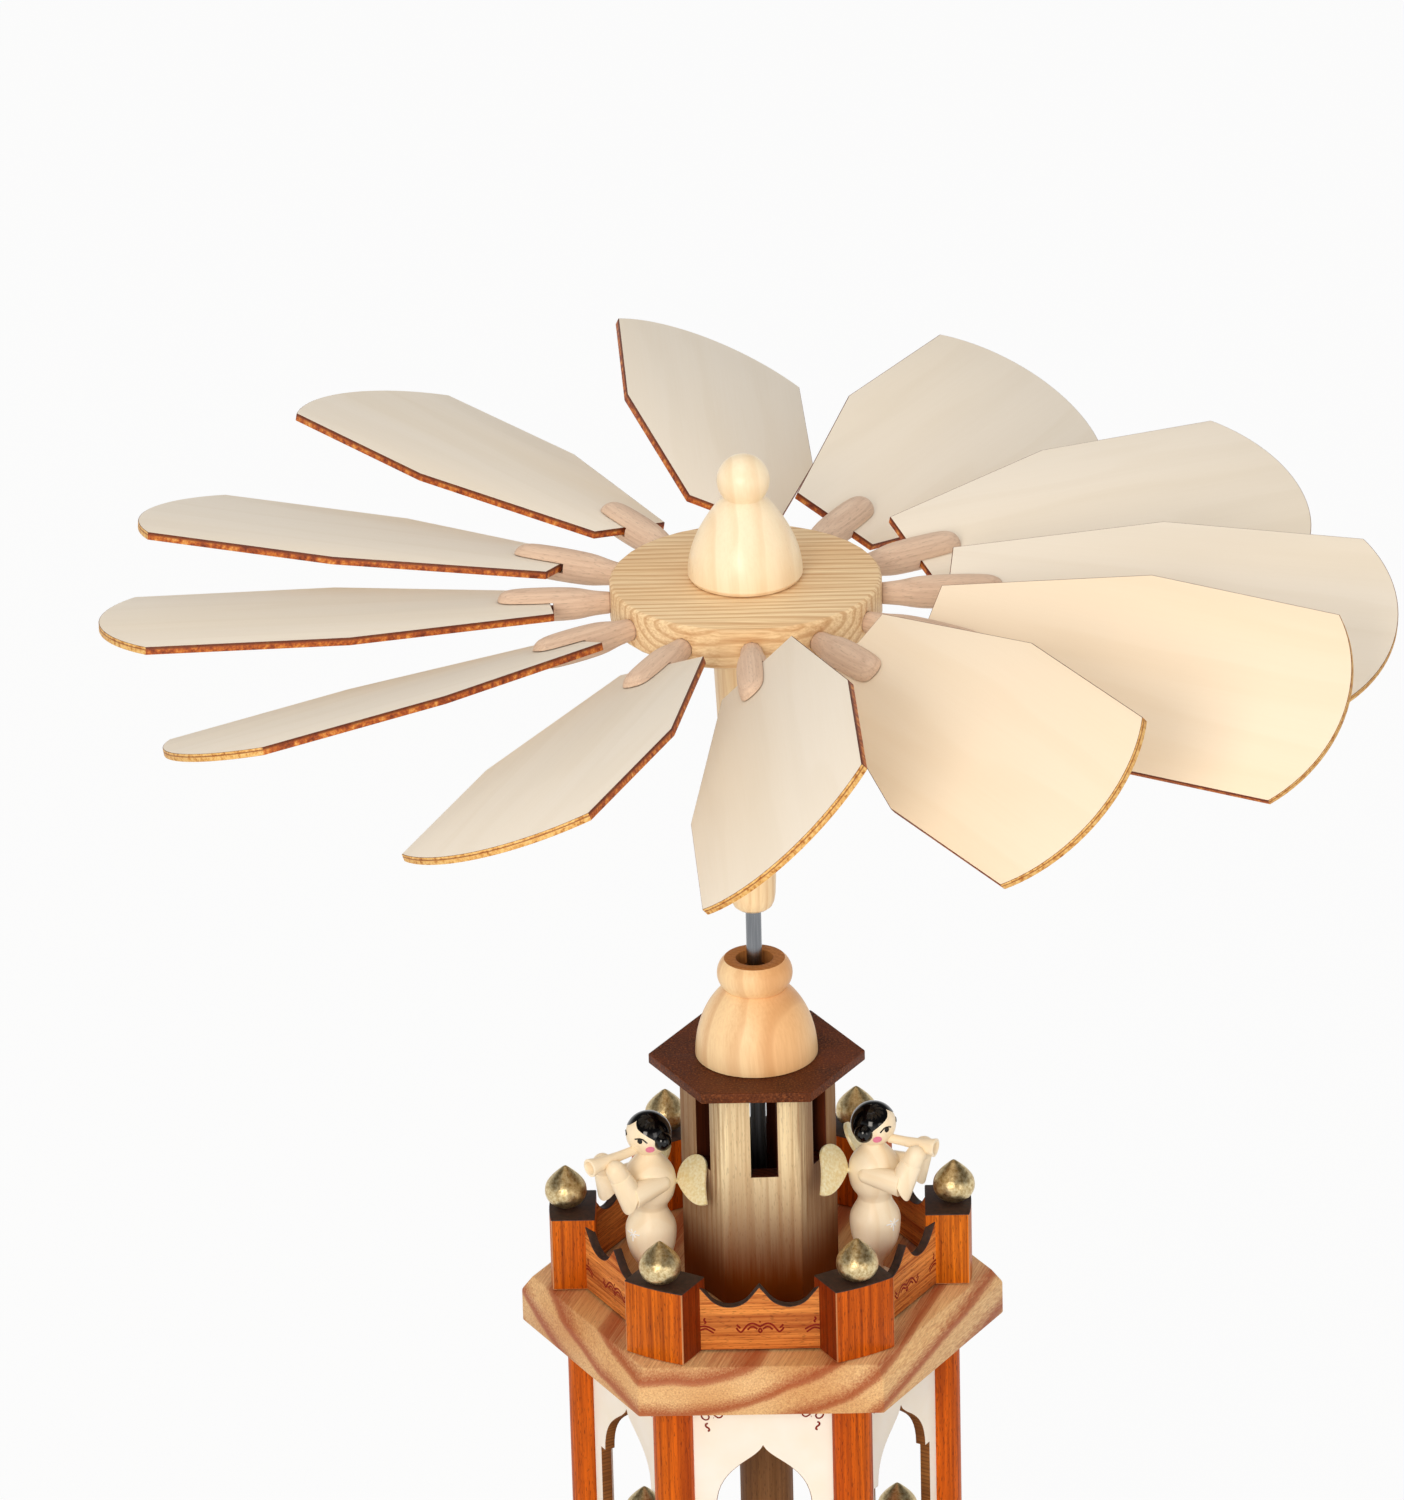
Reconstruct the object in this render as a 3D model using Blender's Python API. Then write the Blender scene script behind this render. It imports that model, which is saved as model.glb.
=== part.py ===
"""A three-tier candle pyramid, the kind whose wooden fan turns in the warm air of six candles.

Three hexagonal decks stand on dowel columns with arched panels between them. A steel rod runs up
through all of them on a point bearing and carries the spindle, two turntables with their figures,
and the fan: a hub with twelve pegs, each gripping one thin blade. Every peg is a round dowel that
turns in its hole, which is how the pitch of a blade is set.

Metres, +Z up, origin at the middle of the underside, front at -Y.
"""

import math

import bmesh
import bpy
from mathutils import Matrix, Vector

# Clearances
GAP = 0.0003            # between two glued or resting pieces
RUNNING_GAP = 0.0003    # between a turning piece and its hole, on the radius
SINK = 0.0008           # how far joined shapes of one piece run into each other

# Decks, all hexagons with two corners on the X axis
SIDES = 6
BASE_RADIUS = 0.165
BASE_THICKNESS = 0.022
BASE_CHAMFER = 0.006
MIDDLE_DECK_RADIUS = 0.1011
TOP_DECK_RADIUS = 0.0785
DECK_THICKNESS = 0.016
DECK_CHAMFER_WIDTH = 0.0032
DECK_CHAMFER_DROP = 0.0046
SPINDLE_HOLE_RADIUS = 0.012
TOP_HOLE_RADIUS = 0.0055

# Columns and arched panels between the decks
COLUMN_RADIUS = 0.0066
LOWER_COLUMN_HEIGHT = 0.143
UPPER_COLUMN_HEIGHT = 0.143
LOWER_COLUMN_SETBACK = 0.021
UPPER_COLUMN_SETBACK = 0.021
PANEL_THICKNESS = 0.0035
PANEL_END_GAP = 0.0005
PANEL_LEG_WIDTH = 0.0107
ARCH_TIP_DROP = 0.0194
ARCH_HEIGHT = 0.022
IMPOST_STEP = 0.0027

# Balustrades: corner posts, scalloped rails and gilded onion finials
POST_SETBACK = 0.0099
POST_WIDTH = 0.0214
POST_DEPTH = 0.0151
POST_HEIGHT = 0.0255
RAIL_SETBACK = 0.0135
RAIL_THICKNESS = 0.003
RAIL_CUSP_HEIGHT = 0.0227
RAIL_LOW_HEIGHT = 0.0155
SCALLOP_ANGLE = 52.0
RAIL_LIFT = 0.0003
FINIAL_RADIUS = 0.0068
FINIAL_HEIGHT = 0.0142
FINIAL_SETBACK = 0.0155

# Tower, its roof and the turned dome on the top deck
TOWER_RADIUS = 0.0252
TOWER_HEIGHT = 0.0761
TOWER_WALL = 0.006
TOWER_TURN = 2.5
SLOT_WIDTH = 0.0085
SLOT_DEPTH = 0.0303
SLOT_OFFSET = 0.001
ROOF_RADIUS = 0.035
ROOF_THICKNESS = 0.0035
ROOF_HOLE_RADIUS = 0.0033
DOME_RADIUS = 0.0198
DOME_RISE = 0.027
DOME_NECK_HEIGHT = 0.0232
COLLAR_RADIUS = 0.0122
COLLAR_HEIGHT = 0.0103
COLLAR_SWELL_ANGLE = 51.0
COLLAR_BORE_RADIUS = 0.006
COLLAR_BORE_DEPTH = 0.0045
BUSH_RADIUS = 0.0042
BUSH_STAND = 0.0012

# Rotor
ROD_RADIUS = 0.0025
ROD_TIP_LENGTH = 0.006
CUP_RADIUS = 0.007
CUP_HEIGHT = 0.009
CUP_RECESS = 0.005
CUP_CONE_RADIUS = 0.0034
CUP_CONE_DEPTH = 0.0042
SPINDLE_RADIUS = 0.0087
SPINDLE_FOOT_HEIGHT = 0.012
SPINDLE_TOP_GAP = 0.003
GROUND_DISC_RADIUS = 0.060
MIDDLE_DISC_RADIUS = 0.043
DISC_THICKNESS = 0.004
DISC_BOSS_RADIUS = 0.014
DISC_BOSS_HEIGHT = 0.006
GROUND_DISC_HEIGHT = 0.015
MIDDLE_DISC_HEIGHT = 0.004
HUB_HEIGHT = 0.2336
HUB_RADIUS = 0.043
HUB_THICKNESS = 0.0135
HUB_ROUNDING = 0.0008
SLEEVE_LENGTH = 0.1018
SLEEVE_TOP_RADIUS = 0.0112
SLEEVE_END_RADIUS = 0.0073
SLEEVE_COLLAR_RADIUS = 0.0127
SLEEVE_COLLAR_HEIGHT = 0.005
KNOB_RADIUS = 0.0181
KNOB_NECK_RADIUS = 0.0074
KNOB_NECK_HEIGHT = 0.0263
KNOB_BALL_RADIUS = 0.0084
KNOB_BALL_HEIGHT = 0.0326
KNOB_BORE_DEPTH = 0.014
ROD_TOP_PLAY = 0.001

# Fan: twelve pegs and blades, numbered clockwise seen from above, the first at the back
BLADE_COUNT = 12
FAN_TURN = 2.8
FRONT_BLADE = 7
PEG_AXIS_DEPTH = 0.0074
PEG_HOLE_DEPTH = 0.018
PEG_TENON_RADIUS = 0.0032
PEG_RADIUS = 0.0054
PEG_LENGTH = 0.037
PEG_SLIT_END_GAP = 0.0005
BLADE_START = 0.0626
BLADE_SHIFT = 0.0024
BLADE_LENGTH = 0.1421
BLADE_THICKNESS = 0.0025
BLADE_ROOT_WIDTH = 0.0303
BLADE_SHOULDER_WIDTH = 0.0667
BLADE_TIP_WIDTH = 0.0662
BLADE_SHOULDER_LENGTH = 0.0656
BLADE_TIP_RISE = 0.013

# Each blade as somebody's hand left it: its pitch, its skew in the slit, the droop of its peg, all
# in degrees, how far it stands out of the slit, and how much longer its peg is than most
BLADE_SET = (
    (25, 1.3, -0.9, 0.0017, 0.0), (25.5, -1.3, 0.5, 0.0022, 0.003),
    (19.5, -4.5, 1.2, 0.0009, 0.0), (26, -8.5, 0.5, 0.0015, 0.0014),
    (39.5, 1.3, 2.7, 0.0, 0.004), (40.5, -2.8, -1.1, -0.0030, -0.003),
    (43, 1.3, 0.1, -0.0021, -0.0018), (20.5, 5.7, 2.5, -0.0030, -0.004),
    (18.5, -1.2, 0.7, 0.0, -0.0025), (9.5, 4.3, -0.4, -0.0007, -0.0015),
    (11.5, 8.7, 0.9, 0.0021, 0.003), (11, 9.5, -0.4, 0.0035, 0.004),
)

# Candle holders
HOLDER_CIRCLE = 0.138
HOLDER_HEIGHT = 0.026
HOLDER_FOOT_RADIUS = 0.013
HOLDER_STEM_RADIUS = 0.006
HOLDER_WALL = 0.0032
SOCKET_RADIUS = 0.0073
SOCKET_DEPTH = 0.014

# Angels on the top deck: where the foot stands, as a direction from +X and a distance out from the
# middle of the gallery, and the way each one faces, in degrees from +X
ANGEL_LEFT_PLACE = (-160.5, -0.0009)
ANGEL_RIGHT_PLACE = (-12.1, -0.0002)
ANGEL_LEFT_FACING = -142.0
ANGEL_RIGHT_FACING = -23.0
ANGEL_LEFT_TRUMPET = 0.0187
ANGEL_RIGHT_TRUMPET = 0.0165
ANGEL_FOOT_RADIUS = 0.0055
ANGEL_FOOT_HEIGHT = 0.0032
ANGEL_ANKLE_RADIUS = 0.0024
ANGEL_SKIRT_RADIUS = 0.0082
ANGEL_CHEST_RADIUS = 0.0085
ANGEL_WAIST_HEIGHT = 0.0312
ANGEL_NECK_HEIGHT = 0.0502
HEAD_RADIUS = 0.0073
BUN_RADIUS = 0.0032
TRUMPET_BELL_RADIUS = 0.0031
TRUMPET_MOUTH_RADIUS = 0.0015
ARM_RADIUS = 0.0031
ARM_REACH = 0.0115
CUFF_RADIUS = 0.0048
HAND_REACH = 0.0162
HAND_RADIUS = 0.0031
WING_THICKNESS = 0.0013
WING_SPAN = 0.0126
WING_PEG_RADIUS = 0.0011
WING_LEFT_SET = (99.0, 23.0, -36.0)     # turn from the front, tilt in its own plane, lean
WING_RIGHT_SET = (107.0, 25.0, -29.0)

# Figures on the turntables
PLINTH_THICKNESS = 0.002
KING_HEIGHT = 0.040
KING_RADIUS = 0.0066
KING_CIRCLE = 0.029
JOSEPH_HEIGHT = 0.044
MARY_HEIGHT = 0.033
FOLK_RADIUS = 0.0078
FOLK_CIRCLE = 0.039
SHEPHERD_HEIGHT = 0.043
STAFF_RADIUS = 0.0008
SHEEP_LENGTH = 0.014

# Heights that follow from the sizes above
BASE_TOP = BASE_THICKNESS
MIDDLE_UNDER = BASE_TOP + LOWER_COLUMN_HEIGHT + 2 * GAP
MIDDLE_TOP = MIDDLE_UNDER + DECK_THICKNESS
TOP_UNDER = MIDDLE_TOP + UPPER_COLUMN_HEIGHT + 2 * GAP
TOP_TOP = TOP_UNDER + DECK_THICKNESS
ROOF_UNDER = TOP_TOP + TOWER_HEIGHT + 2 * GAP
ROOF_TOP = ROOF_UNDER + ROOF_THICKNESS
HUB_UNDER = TOP_TOP + HUB_HEIGHT
HUB_TOP = HUB_UNDER + HUB_THICKNESS
PEG_AXIS_HEIGHT = HUB_TOP - PEG_AXIS_DEPTH
LOWER_COLUMN_CIRCLE = MIDDLE_DECK_RADIUS - LOWER_COLUMN_SETBACK
UPPER_COLUMN_CIRCLE = TOP_DECK_RADIUS - UPPER_COLUMN_SETBACK
HALF_CORNER = math.radians(180 / SIDES)


def clear_scene():
    for item in list(bpy.data.objects):
        bpy.data.objects.remove(item, do_unlink=True)


def material(name, colour, roughness=0.55, metallic=0.0):
    made = bpy.data.materials.get(name)
    if made is None:
        made = bpy.data.materials.new(name)
        made.use_nodes = True
        shader = made.node_tree.nodes["Principled BSDF"]
        shader.inputs["Base Color"].default_value = (*colour, 1.0)
        shader.inputs["Roughness"].default_value = roughness
        shader.inputs["Metallic"].default_value = metallic
    return made


def pine():
    return material("pine", (0.70, 0.47, 0.20))


def dark_walnut():
    return material("dark walnut stain", (0.075, 0.016, 0.007))


def mahogany():
    return material("mahogany stain", (0.40, 0.070, 0.016), 0.45)


def gilding():
    return material("gilding", (0.60, 0.42, 0.12), 0.35, 1.0)


def limewood():
    return material("limewood", (0.88, 0.70, 0.43), 0.5)


def beech():
    return material("beech", (0.57, 0.37, 0.26))


def plywood():
    return material("birch plywood", (0.80, 0.70, 0.53), 0.6)


def painted_panel():
    return material("cream paint", (0.95, 0.86, 0.72), 0.6)


def steel():
    return material("steel", (0.55, 0.56, 0.58), 0.2, 1.0)


def brass():
    return material("brass", (0.70, 0.50, 0.20), 0.3, 1.0)


def walnut():
    return material("walnut", (0.27, 0.18, 0.095))


def add_object(name, bm, finish, matrix=None):
    """One named object from a bmesh, its faces turned out and its sharp edges kept."""
    bmesh.ops.remove_doubles(bm, verts=bm.verts, dist=1e-6)
    bmesh.ops.recalc_face_normals(bm, faces=bm.faces)
    mesh = bpy.data.meshes.new(name)
    bm.to_mesh(mesh)
    bm.free()
    mesh.shade_smooth()
    mesh.set_sharp_from_angle(angle=math.radians(35))
    mesh.materials.append(finish)
    item = bpy.data.objects.new(name, mesh)
    bpy.context.scene.collection.objects.link(item)
    if matrix is not None:
        item.matrix_world = matrix
    return item


def turned(profile, segments=24):
    """A lathe shape about Z. A profile that starts off the axis closes on itself round a bore."""
    bm = bmesh.new()
    points = [bm.verts.new((radius, 0.0, height)) for radius, height in profile]
    edges = [bm.edges.new(pair) for pair in zip(points, points[1:])]
    if profile[0][0] > 0.0:
        edges.append(bm.edges.new((points[-1], points[0])))
    bmesh.ops.spin(bm, geom=points + edges, cent=(0, 0, 0), axis=(0, 0, 1),
                   angle=2 * math.pi, steps=segments, use_merge=True)
    bmesh.ops.remove_doubles(bm, verts=bm.verts, dist=1e-6)
    return bm


def prism(outline, low, high):
    """A flat outline in XY, extruded from low to high along Z."""
    bm = bmesh.new()
    face = bm.faces.new([bm.verts.new((x, y, low)) for x, y in outline])
    raised = bmesh.ops.extrude_face_region(bm, geom=[face])
    corners = [item for item in raised["geom"] if isinstance(item, bmesh.types.BMVert)]
    bmesh.ops.translate(bm, verts=corners, vec=(0, 0, high - low))
    return bm


def ball(radius, place=(0, 0, 0), stretch=(1, 1, 1), segments=12):
    """A round solid, stretched along its own axes and moved to its place."""
    bm = bmesh.new()
    move = Matrix.Translation(place) @ Matrix.Diagonal((*stretch, 1))
    bmesh.ops.create_uvsphere(bm, u_segments=segments, v_segments=segments // 2 + 2,
                              radius=radius, matrix=move)
    return bm


def tapered_rod(start, end, start_radius, end_radius, segments=9):
    """A straight round rod between two points, with a radius at each end."""
    start, end = Vector(start), Vector(end)
    along = end - start
    bm = bmesh.new()
    move = Matrix.Translation((start + end) / 2) @ along.to_track_quat("Z", "Y").to_matrix().to_4x4()
    bmesh.ops.create_cone(bm, cap_ends=True, segments=segments, radius1=start_radius,
                          radius2=end_radius, depth=along.length, matrix=move)
    return bm


def box(low, high):
    """A block between two corners."""
    return prism([(low[0], low[1]), (high[0], low[1]), (high[0], high[1]), (low[0], high[1])],
                 low[2], high[2])


def cutter(name, bm, matrix=None):
    item = add_object(name, bm, material("cutter", (1, 0, 0)), matrix)
    item.hide_render = True
    item.display_type = "WIRE"
    return item


def boolean(item, other, operation):
    step = item.modifiers.new(operation.title(), "BOOLEAN")
    step.operation = operation
    step.solver = "EXACT"
    step.object = other


def cut(item, *others):
    for other in others:
        boolean(item, other, "DIFFERENCE")


def fuse(name, shapes, finish):
    """Several overlapping shapes joined into one closed body, the first one growing."""
    first, *rest = [add_object(name if i == 0 else f"{name} part", bm, finish)
                    for i, bm in enumerate(shapes)]
    for other in rest:
        boolean(first, other, "UNION")
    view = bpy.context.evaluated_depsgraph_get()
    view.update()
    joined = bpy.data.meshes.new_from_object(first.evaluated_get(view))
    first.modifiers.clear()
    first.data = joined
    joined.name = name
    for other in rest:
        bpy.data.objects.remove(other, do_unlink=True)
    return first


def moved(bm, matrix):
    bmesh.ops.transform(bm, matrix=matrix, verts=bm.verts)
    return bm


def around(angle):
    return Matrix.Rotation(angle, 4, "Z")


def corner_angles():
    return [2 * math.pi * i / SIDES for i in range(SIDES)]


def face_angles():
    return [angle + HALF_CORNER for angle in corner_angles()]


def arc(centre, radius, start, end, steps):
    """Points on a circle from one angle to another, in degrees."""
    angles = [math.radians(start + (end - start) * i / steps) for i in range(steps + 1)]
    return [(centre[0] + radius * math.cos(a), centre[1] + radius * math.sin(a)) for a in angles]


def bezier(points, steps):
    """Points along one cubic curve, both ends included."""
    curve = []
    for i in range(steps + 1):
        t = i / steps
        weights = ((1 - t) ** 3, 3 * t * (1 - t) ** 2, 3 * t * t * (1 - t), t ** 3)
        curve.append(tuple(sum(w * p[axis] for w, p in zip(weights, points)) for axis in (0, 1)))
    return curve


def deck(name, radius, low, thickness, chamfer_width, chamfer_drop):
    top = low + thickness
    inner = radius - chamfer_width / math.cos(HALF_CORNER)
    profile = ((0, low), (radius, low), (radius, top - chamfer_drop), (inner, top), (0, top))
    return add_object(name, turned(profile, SIDES), pine())


def round_cutter(name, radius, low, high, segments=24):
    return cutter(name, turned(((0, low), (radius, low), (radius, high), (0, high)), segments))


def build_decks():
    base = deck("base_board", BASE_RADIUS, 0.0, BASE_THICKNESS, BASE_CHAMFER, BASE_CHAMFER)
    cut(base, round_cutter("cup recess", CUP_RADIUS + GAP, BASE_TOP - CUP_RECESS, BASE_TOP + GAP))
    middle = deck("middle_deck", MIDDLE_DECK_RADIUS, MIDDLE_UNDER, DECK_THICKNESS,
                  DECK_CHAMFER_WIDTH, DECK_CHAMFER_DROP)
    cut(middle, round_cutter("spindle hole", SPINDLE_HOLE_RADIUS, MIDDLE_UNDER - GAP, MIDDLE_TOP + GAP))
    top = deck("top_deck", TOP_DECK_RADIUS, TOP_UNDER, DECK_THICKNESS,
               DECK_CHAMFER_WIDTH, DECK_CHAMFER_DROP)
    cut(top, round_cutter("rod hole", TOP_HOLE_RADIUS, TOP_UNDER - GAP, TOP_TOP + GAP))


def arch_outline(half_width, height):
    """A full-height panel with a keel arch: pointed tip, swelling flanks and a step at the impost."""
    jamb = half_width - PANEL_LEG_WIDTH
    spring = jamb - IMPOST_STEP
    tip = height - ARCH_TIP_DROP
    flank = bezier(((0, tip), (0.16 * spring, tip - 0.25 * ARCH_HEIGHT),
                    (spring, tip - 0.34 * ARCH_HEIGHT), (spring, tip - ARCH_HEIGHT)), 6)
    right = flank + [(jamb, tip - ARCH_HEIGHT), (jamb, 0.0), (half_width, 0.0), (half_width, height)]
    left = [(-x, y) for x, y in reversed(right[1:])]
    return left + right


def arcade(name, circle, low, height):
    """Six dowel columns with an arched panel in each bay, glued into one frame."""
    shapes = []
    for angle in corner_angles():
        column = turned(((0, low), (COLUMN_RADIUS, low), (COLUMN_RADIUS, low + height),
                         (0, low + height)), 12)
        shapes.append(moved(column, around(angle) @ Matrix.Translation((circle, 0, 0))))
    half_bay = circle * math.sin(HALF_CORNER)
    outline = arch_outline(half_bay, height - 2 * PANEL_END_GAP)
    stand = Matrix.Rotation(math.radians(90), 4, "Z") @ Matrix.Rotation(math.radians(90), 4, "X")
    for angle in face_angles():
        panel = prism(outline, -PANEL_THICKNESS / 2, PANEL_THICKNESS / 2)
        place = Matrix.Translation((circle * math.cos(HALF_CORNER), 0, low + PANEL_END_GAP))
        shapes.append(moved(panel, around(angle) @ place @ stand))
    return fuse(name, shapes, painted_panel())


def finial_profile(low):
    shape = ((0, 0), (0.47, 0), (0.80, 0.11), (0.97, 0.26), (1.0, 0.40), (0.92, 0.55),
             (0.68, 0.71), (0.37, 0.86), (0.14, 0.96), (0, 1))
    return [(FINIAL_RADIUS * r, low + FINIAL_HEIGHT * z) for r, z in shape]


def post_outline(outer):
    """A block cut from a turned ring: round outside, parallel sides, flat inside."""
    half = POST_WIDTH / 2
    spread = math.degrees(math.asin(half / outer))
    inside = [(outer - POST_DEPTH, half), (outer - POST_DEPTH, -half)]
    return arc((0, 0), outer, -spread, spread, 4) + inside


def rail_outline(bay, half_width):
    """One rail board: a cusp in the middle, a round scallop on each side, and ends let into the posts."""
    rise = RAIL_CUSP_HEIGHT - RAIL_LOW_HEIGHT
    angle = math.radians(SCALLOP_ANGLE)
    slope = math.tan(angle)
    radius = (bay / 2 - rise / slope) / (math.sin(angle) - (1 - math.cos(angle)) / slope)
    bowl = arc((bay / 2, RAIL_LOW_HEIGHT + radius), radius, 270 - SCALLOP_ANGLE, 270 + SCALLOP_ANGLE, 6)
    right = [(0.0, RAIL_CUSP_HEIGHT)] + bowl
    right += [(bay, RAIL_CUSP_HEIGHT), (half_width, RAIL_CUSP_HEIGHT), (half_width, 0.0)]
    left = [(-x, y) for x, y in reversed(right[1:])]
    return left + right


def balustrade(name, deck_radius, low, with_finials):
    """Six corner posts and six rails, glued up as one ring."""
    outer = deck_radius - POST_SETBACK
    shapes = []
    for angle in corner_angles():
        post = prism(post_outline(outer), low, low + POST_HEIGHT)
        shapes.append(moved(post, around(angle)))
    face = deck_radius * math.cos(HALF_CORNER) - RAIL_SETBACK
    bay = face * math.tan(HALF_CORNER) - POST_WIDTH / 2 / math.cos(HALF_CORNER)
    stand = Matrix.Rotation(math.radians(90), 4, "Z") @ Matrix.Rotation(math.radians(90), 4, "X")
    for angle in face_angles():
        rail = prism(rail_outline(bay, bay + 2 * SINK), -RAIL_THICKNESS, 0.0)
        place = Matrix.Translation((face, 0, low + RAIL_LIFT))
        shapes.append(moved(rail, around(angle) @ place @ stand))
    if with_finials:
        for angle in corner_angles():
            finial = turned(finial_profile(low + POST_HEIGHT - SINK), 10)
            place = Matrix.Translation((deck_radius - FINIAL_SETBACK, 0, 0))
            shapes.append(moved(finial, around(angle) @ place))
    return fuse(name, shapes, mahogany())


def build_balustrades():
    balustrade("middle_balustrade", MIDDLE_DECK_RADIUS, MIDDLE_TOP + GAP, True)
    balustrade("top_balustrade", TOP_DECK_RADIUS, TOP_TOP + GAP, False)
    for number, angle in enumerate(corner_angles(), start=1):
        finial = add_object(f"top_finial_{number}", turned(finial_profile(0.0), 12), gilding())
        circle = TOP_DECK_RADIUS - FINIAL_SETBACK
        finial.location = (circle * math.cos(angle), circle * math.sin(angle),
                           TOP_TOP + POST_HEIGHT + 2 * GAP)


def build_tower():
    low, high = TOP_TOP + GAP, ROOF_UNDER - GAP
    inner = TOWER_RADIUS - TOWER_WALL / math.cos(HALF_CORNER)
    walls = ((inner, low), (TOWER_RADIUS, low), (TOWER_RADIUS, high), (inner, high))
    turn = math.radians(TOWER_TURN)
    tower = add_object("tower", moved(turned(walls, SIDES), around(turn)), pine())
    for angle in face_angles():
        slot = box((inner / 2, SLOT_OFFSET - SLOT_WIDTH / 2, high - SLOT_DEPTH),
                   (TOWER_RADIUS, SLOT_OFFSET + SLOT_WIDTH / 2, high + GAP))
        cut(tower, cutter("tower slot", slot, around(angle + turn)))
    slab = ((0, ROOF_UNDER), (ROOF_RADIUS, ROOF_UNDER), (ROOF_RADIUS, ROOF_TOP), (0, ROOF_TOP))
    roof = add_object("tower_roof", turned(slab, SIDES), dark_walnut())
    cut(roof, round_cutter("roof hole", ROOF_HOLE_RADIUS, ROOF_UNDER - GAP, ROOF_TOP + GAP, 16))


def build_dome():
    """The turned dome with its ring collar, and the metal bush that steadies the rod in it."""
    low = ROOF_TOP + GAP
    neck = math.degrees(math.asin(DOME_NECK_HEIGHT / DOME_RISE))
    curve = [(DOME_RADIUS * x, low + DOME_RISE * z) for x, z in arc((0, 0), 1.0, 0, neck, 5)]
    swell = COLLAR_HEIGHT / 2 / math.sin(math.radians(COLLAR_SWELL_ANGLE))
    collar_centre = (COLLAR_RADIUS - swell, low + DOME_NECK_HEIGHT + COLLAR_HEIGHT / 2)
    ring = arc(collar_centre, swell, -COLLAR_SWELL_ANGLE, COLLAR_SWELL_ANGLE, 5)
    top = low + DOME_NECK_HEIGHT + COLLAR_HEIGHT
    bore = BUSH_RADIUS + GAP
    floor = top - COLLAR_BORE_DEPTH
    inside = [(COLLAR_BORE_RADIUS, top), (COLLAR_BORE_RADIUS, floor), (bore, floor), (bore, low)]
    add_object("dome", turned(curve + ring + inside, 24), limewood())
    hole = ROD_RADIUS + RUNNING_GAP
    high = floor + BUSH_STAND
    bush = ((hole, low), (BUSH_RADIUS, low), (BUSH_RADIUS, high), (hole, high))
    add_object("guide_bush", turned(bush, 16), steel())


def build_pivot_cup():
    low = BASE_TOP - CUP_RECESS + GAP
    top = low + CUP_HEIGHT
    profile = ((0, low), (CUP_RADIUS, low), (CUP_RADIUS, top), (CUP_CONE_RADIUS, top),
               (0, top - CUP_CONE_DEPTH))
    add_object("pivot_cup", turned(profile, 20), brass())
    return top - CUP_CONE_DEPTH


def build_candle_holders():
    wall = SOCKET_RADIUS + HOLDER_WALL
    floor = HOLDER_HEIGHT - SOCKET_DEPTH
    profile = ((0, 0), (HOLDER_FOOT_RADIUS, 0), (HOLDER_FOOT_RADIUS, 0.10 * HOLDER_HEIGHT),
               (HOLDER_STEM_RADIUS, 0.24 * HOLDER_HEIGHT), (HOLDER_STEM_RADIUS, 0.34 * HOLDER_HEIGHT),
               (wall, 0.46 * HOLDER_HEIGHT), (wall + HOLDER_WALL / 4, 0.7 * HOLDER_HEIGHT),
               (wall - HOLDER_WALL / 4, HOLDER_HEIGHT), (SOCKET_RADIUS, HOLDER_HEIGHT),
               (SOCKET_RADIUS, floor), (0, floor))
    for number, angle in enumerate(corner_angles(), start=1):
        holder = add_object(f"candle_holder_{number}", turned(profile, 14), mahogany())
        holder.location = (HOLDER_CIRCLE * math.cos(angle), HOLDER_CIRCLE * math.sin(angle),
                           BASE_TOP + GAP)


def wing_outline():
    """Half of a heart, root at the origin, drawn out to a point at its lower outer end."""
    shoulder, tip = (0.905, 0.325), (1.0, -0.714)
    upper = bezier(((0.0, 0.0), (0.0, 0.754), (0.833, 0.833), shoulder), 6)
    outer = bezier((shoulder, (0.857, -0.159), (0.952, -0.476), tip), 3)
    lower = bezier((tip, (0.675, -0.833), (0.278, -0.476), (0.0, 0.0)), 5)
    return [(WING_SPAN * x, WING_SPAN * y) for x, y in upper[:-1] + outer[:-1] + lower[:-1]]


def angel_profile():
    """Half the outline of the turned body: foot, ankle, full skirt, waist, chest and neck."""
    foot, ankle = ANGEL_FOOT_RADIUS, ANGEL_ANKLE_RADIUS
    skirt, chest = ANGEL_SKIRT_RADIUS, ANGEL_CHEST_RADIUS
    waist, neck = ANGEL_WAIST_HEIGHT, ANGEL_NECK_HEIGHT
    rise = neck - waist
    lower = [(0, 0), (foot, 0), (foot, ANGEL_FOOT_HEIGHT), (1.08 * ankle, 1.2 * ANGEL_FOOT_HEIGHT),
             (ankle, 0.224 * waist), (0.55 * skirt, 0.337 * waist), (0.87 * skirt, 0.497 * waist),
             (skirt, 0.673 * waist), (0.97 * skirt, 0.817 * waist), (0.64 * skirt, waist)]
    upper = [(0.90 * chest, waist + 0.237 * rise), (chest, waist + 0.526 * rise),
             (0.85 * chest, waist + 0.763 * rise), (0.4 * chest, neck), (0, neck + 0.158 * rise)]
    return lower + upper


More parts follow.
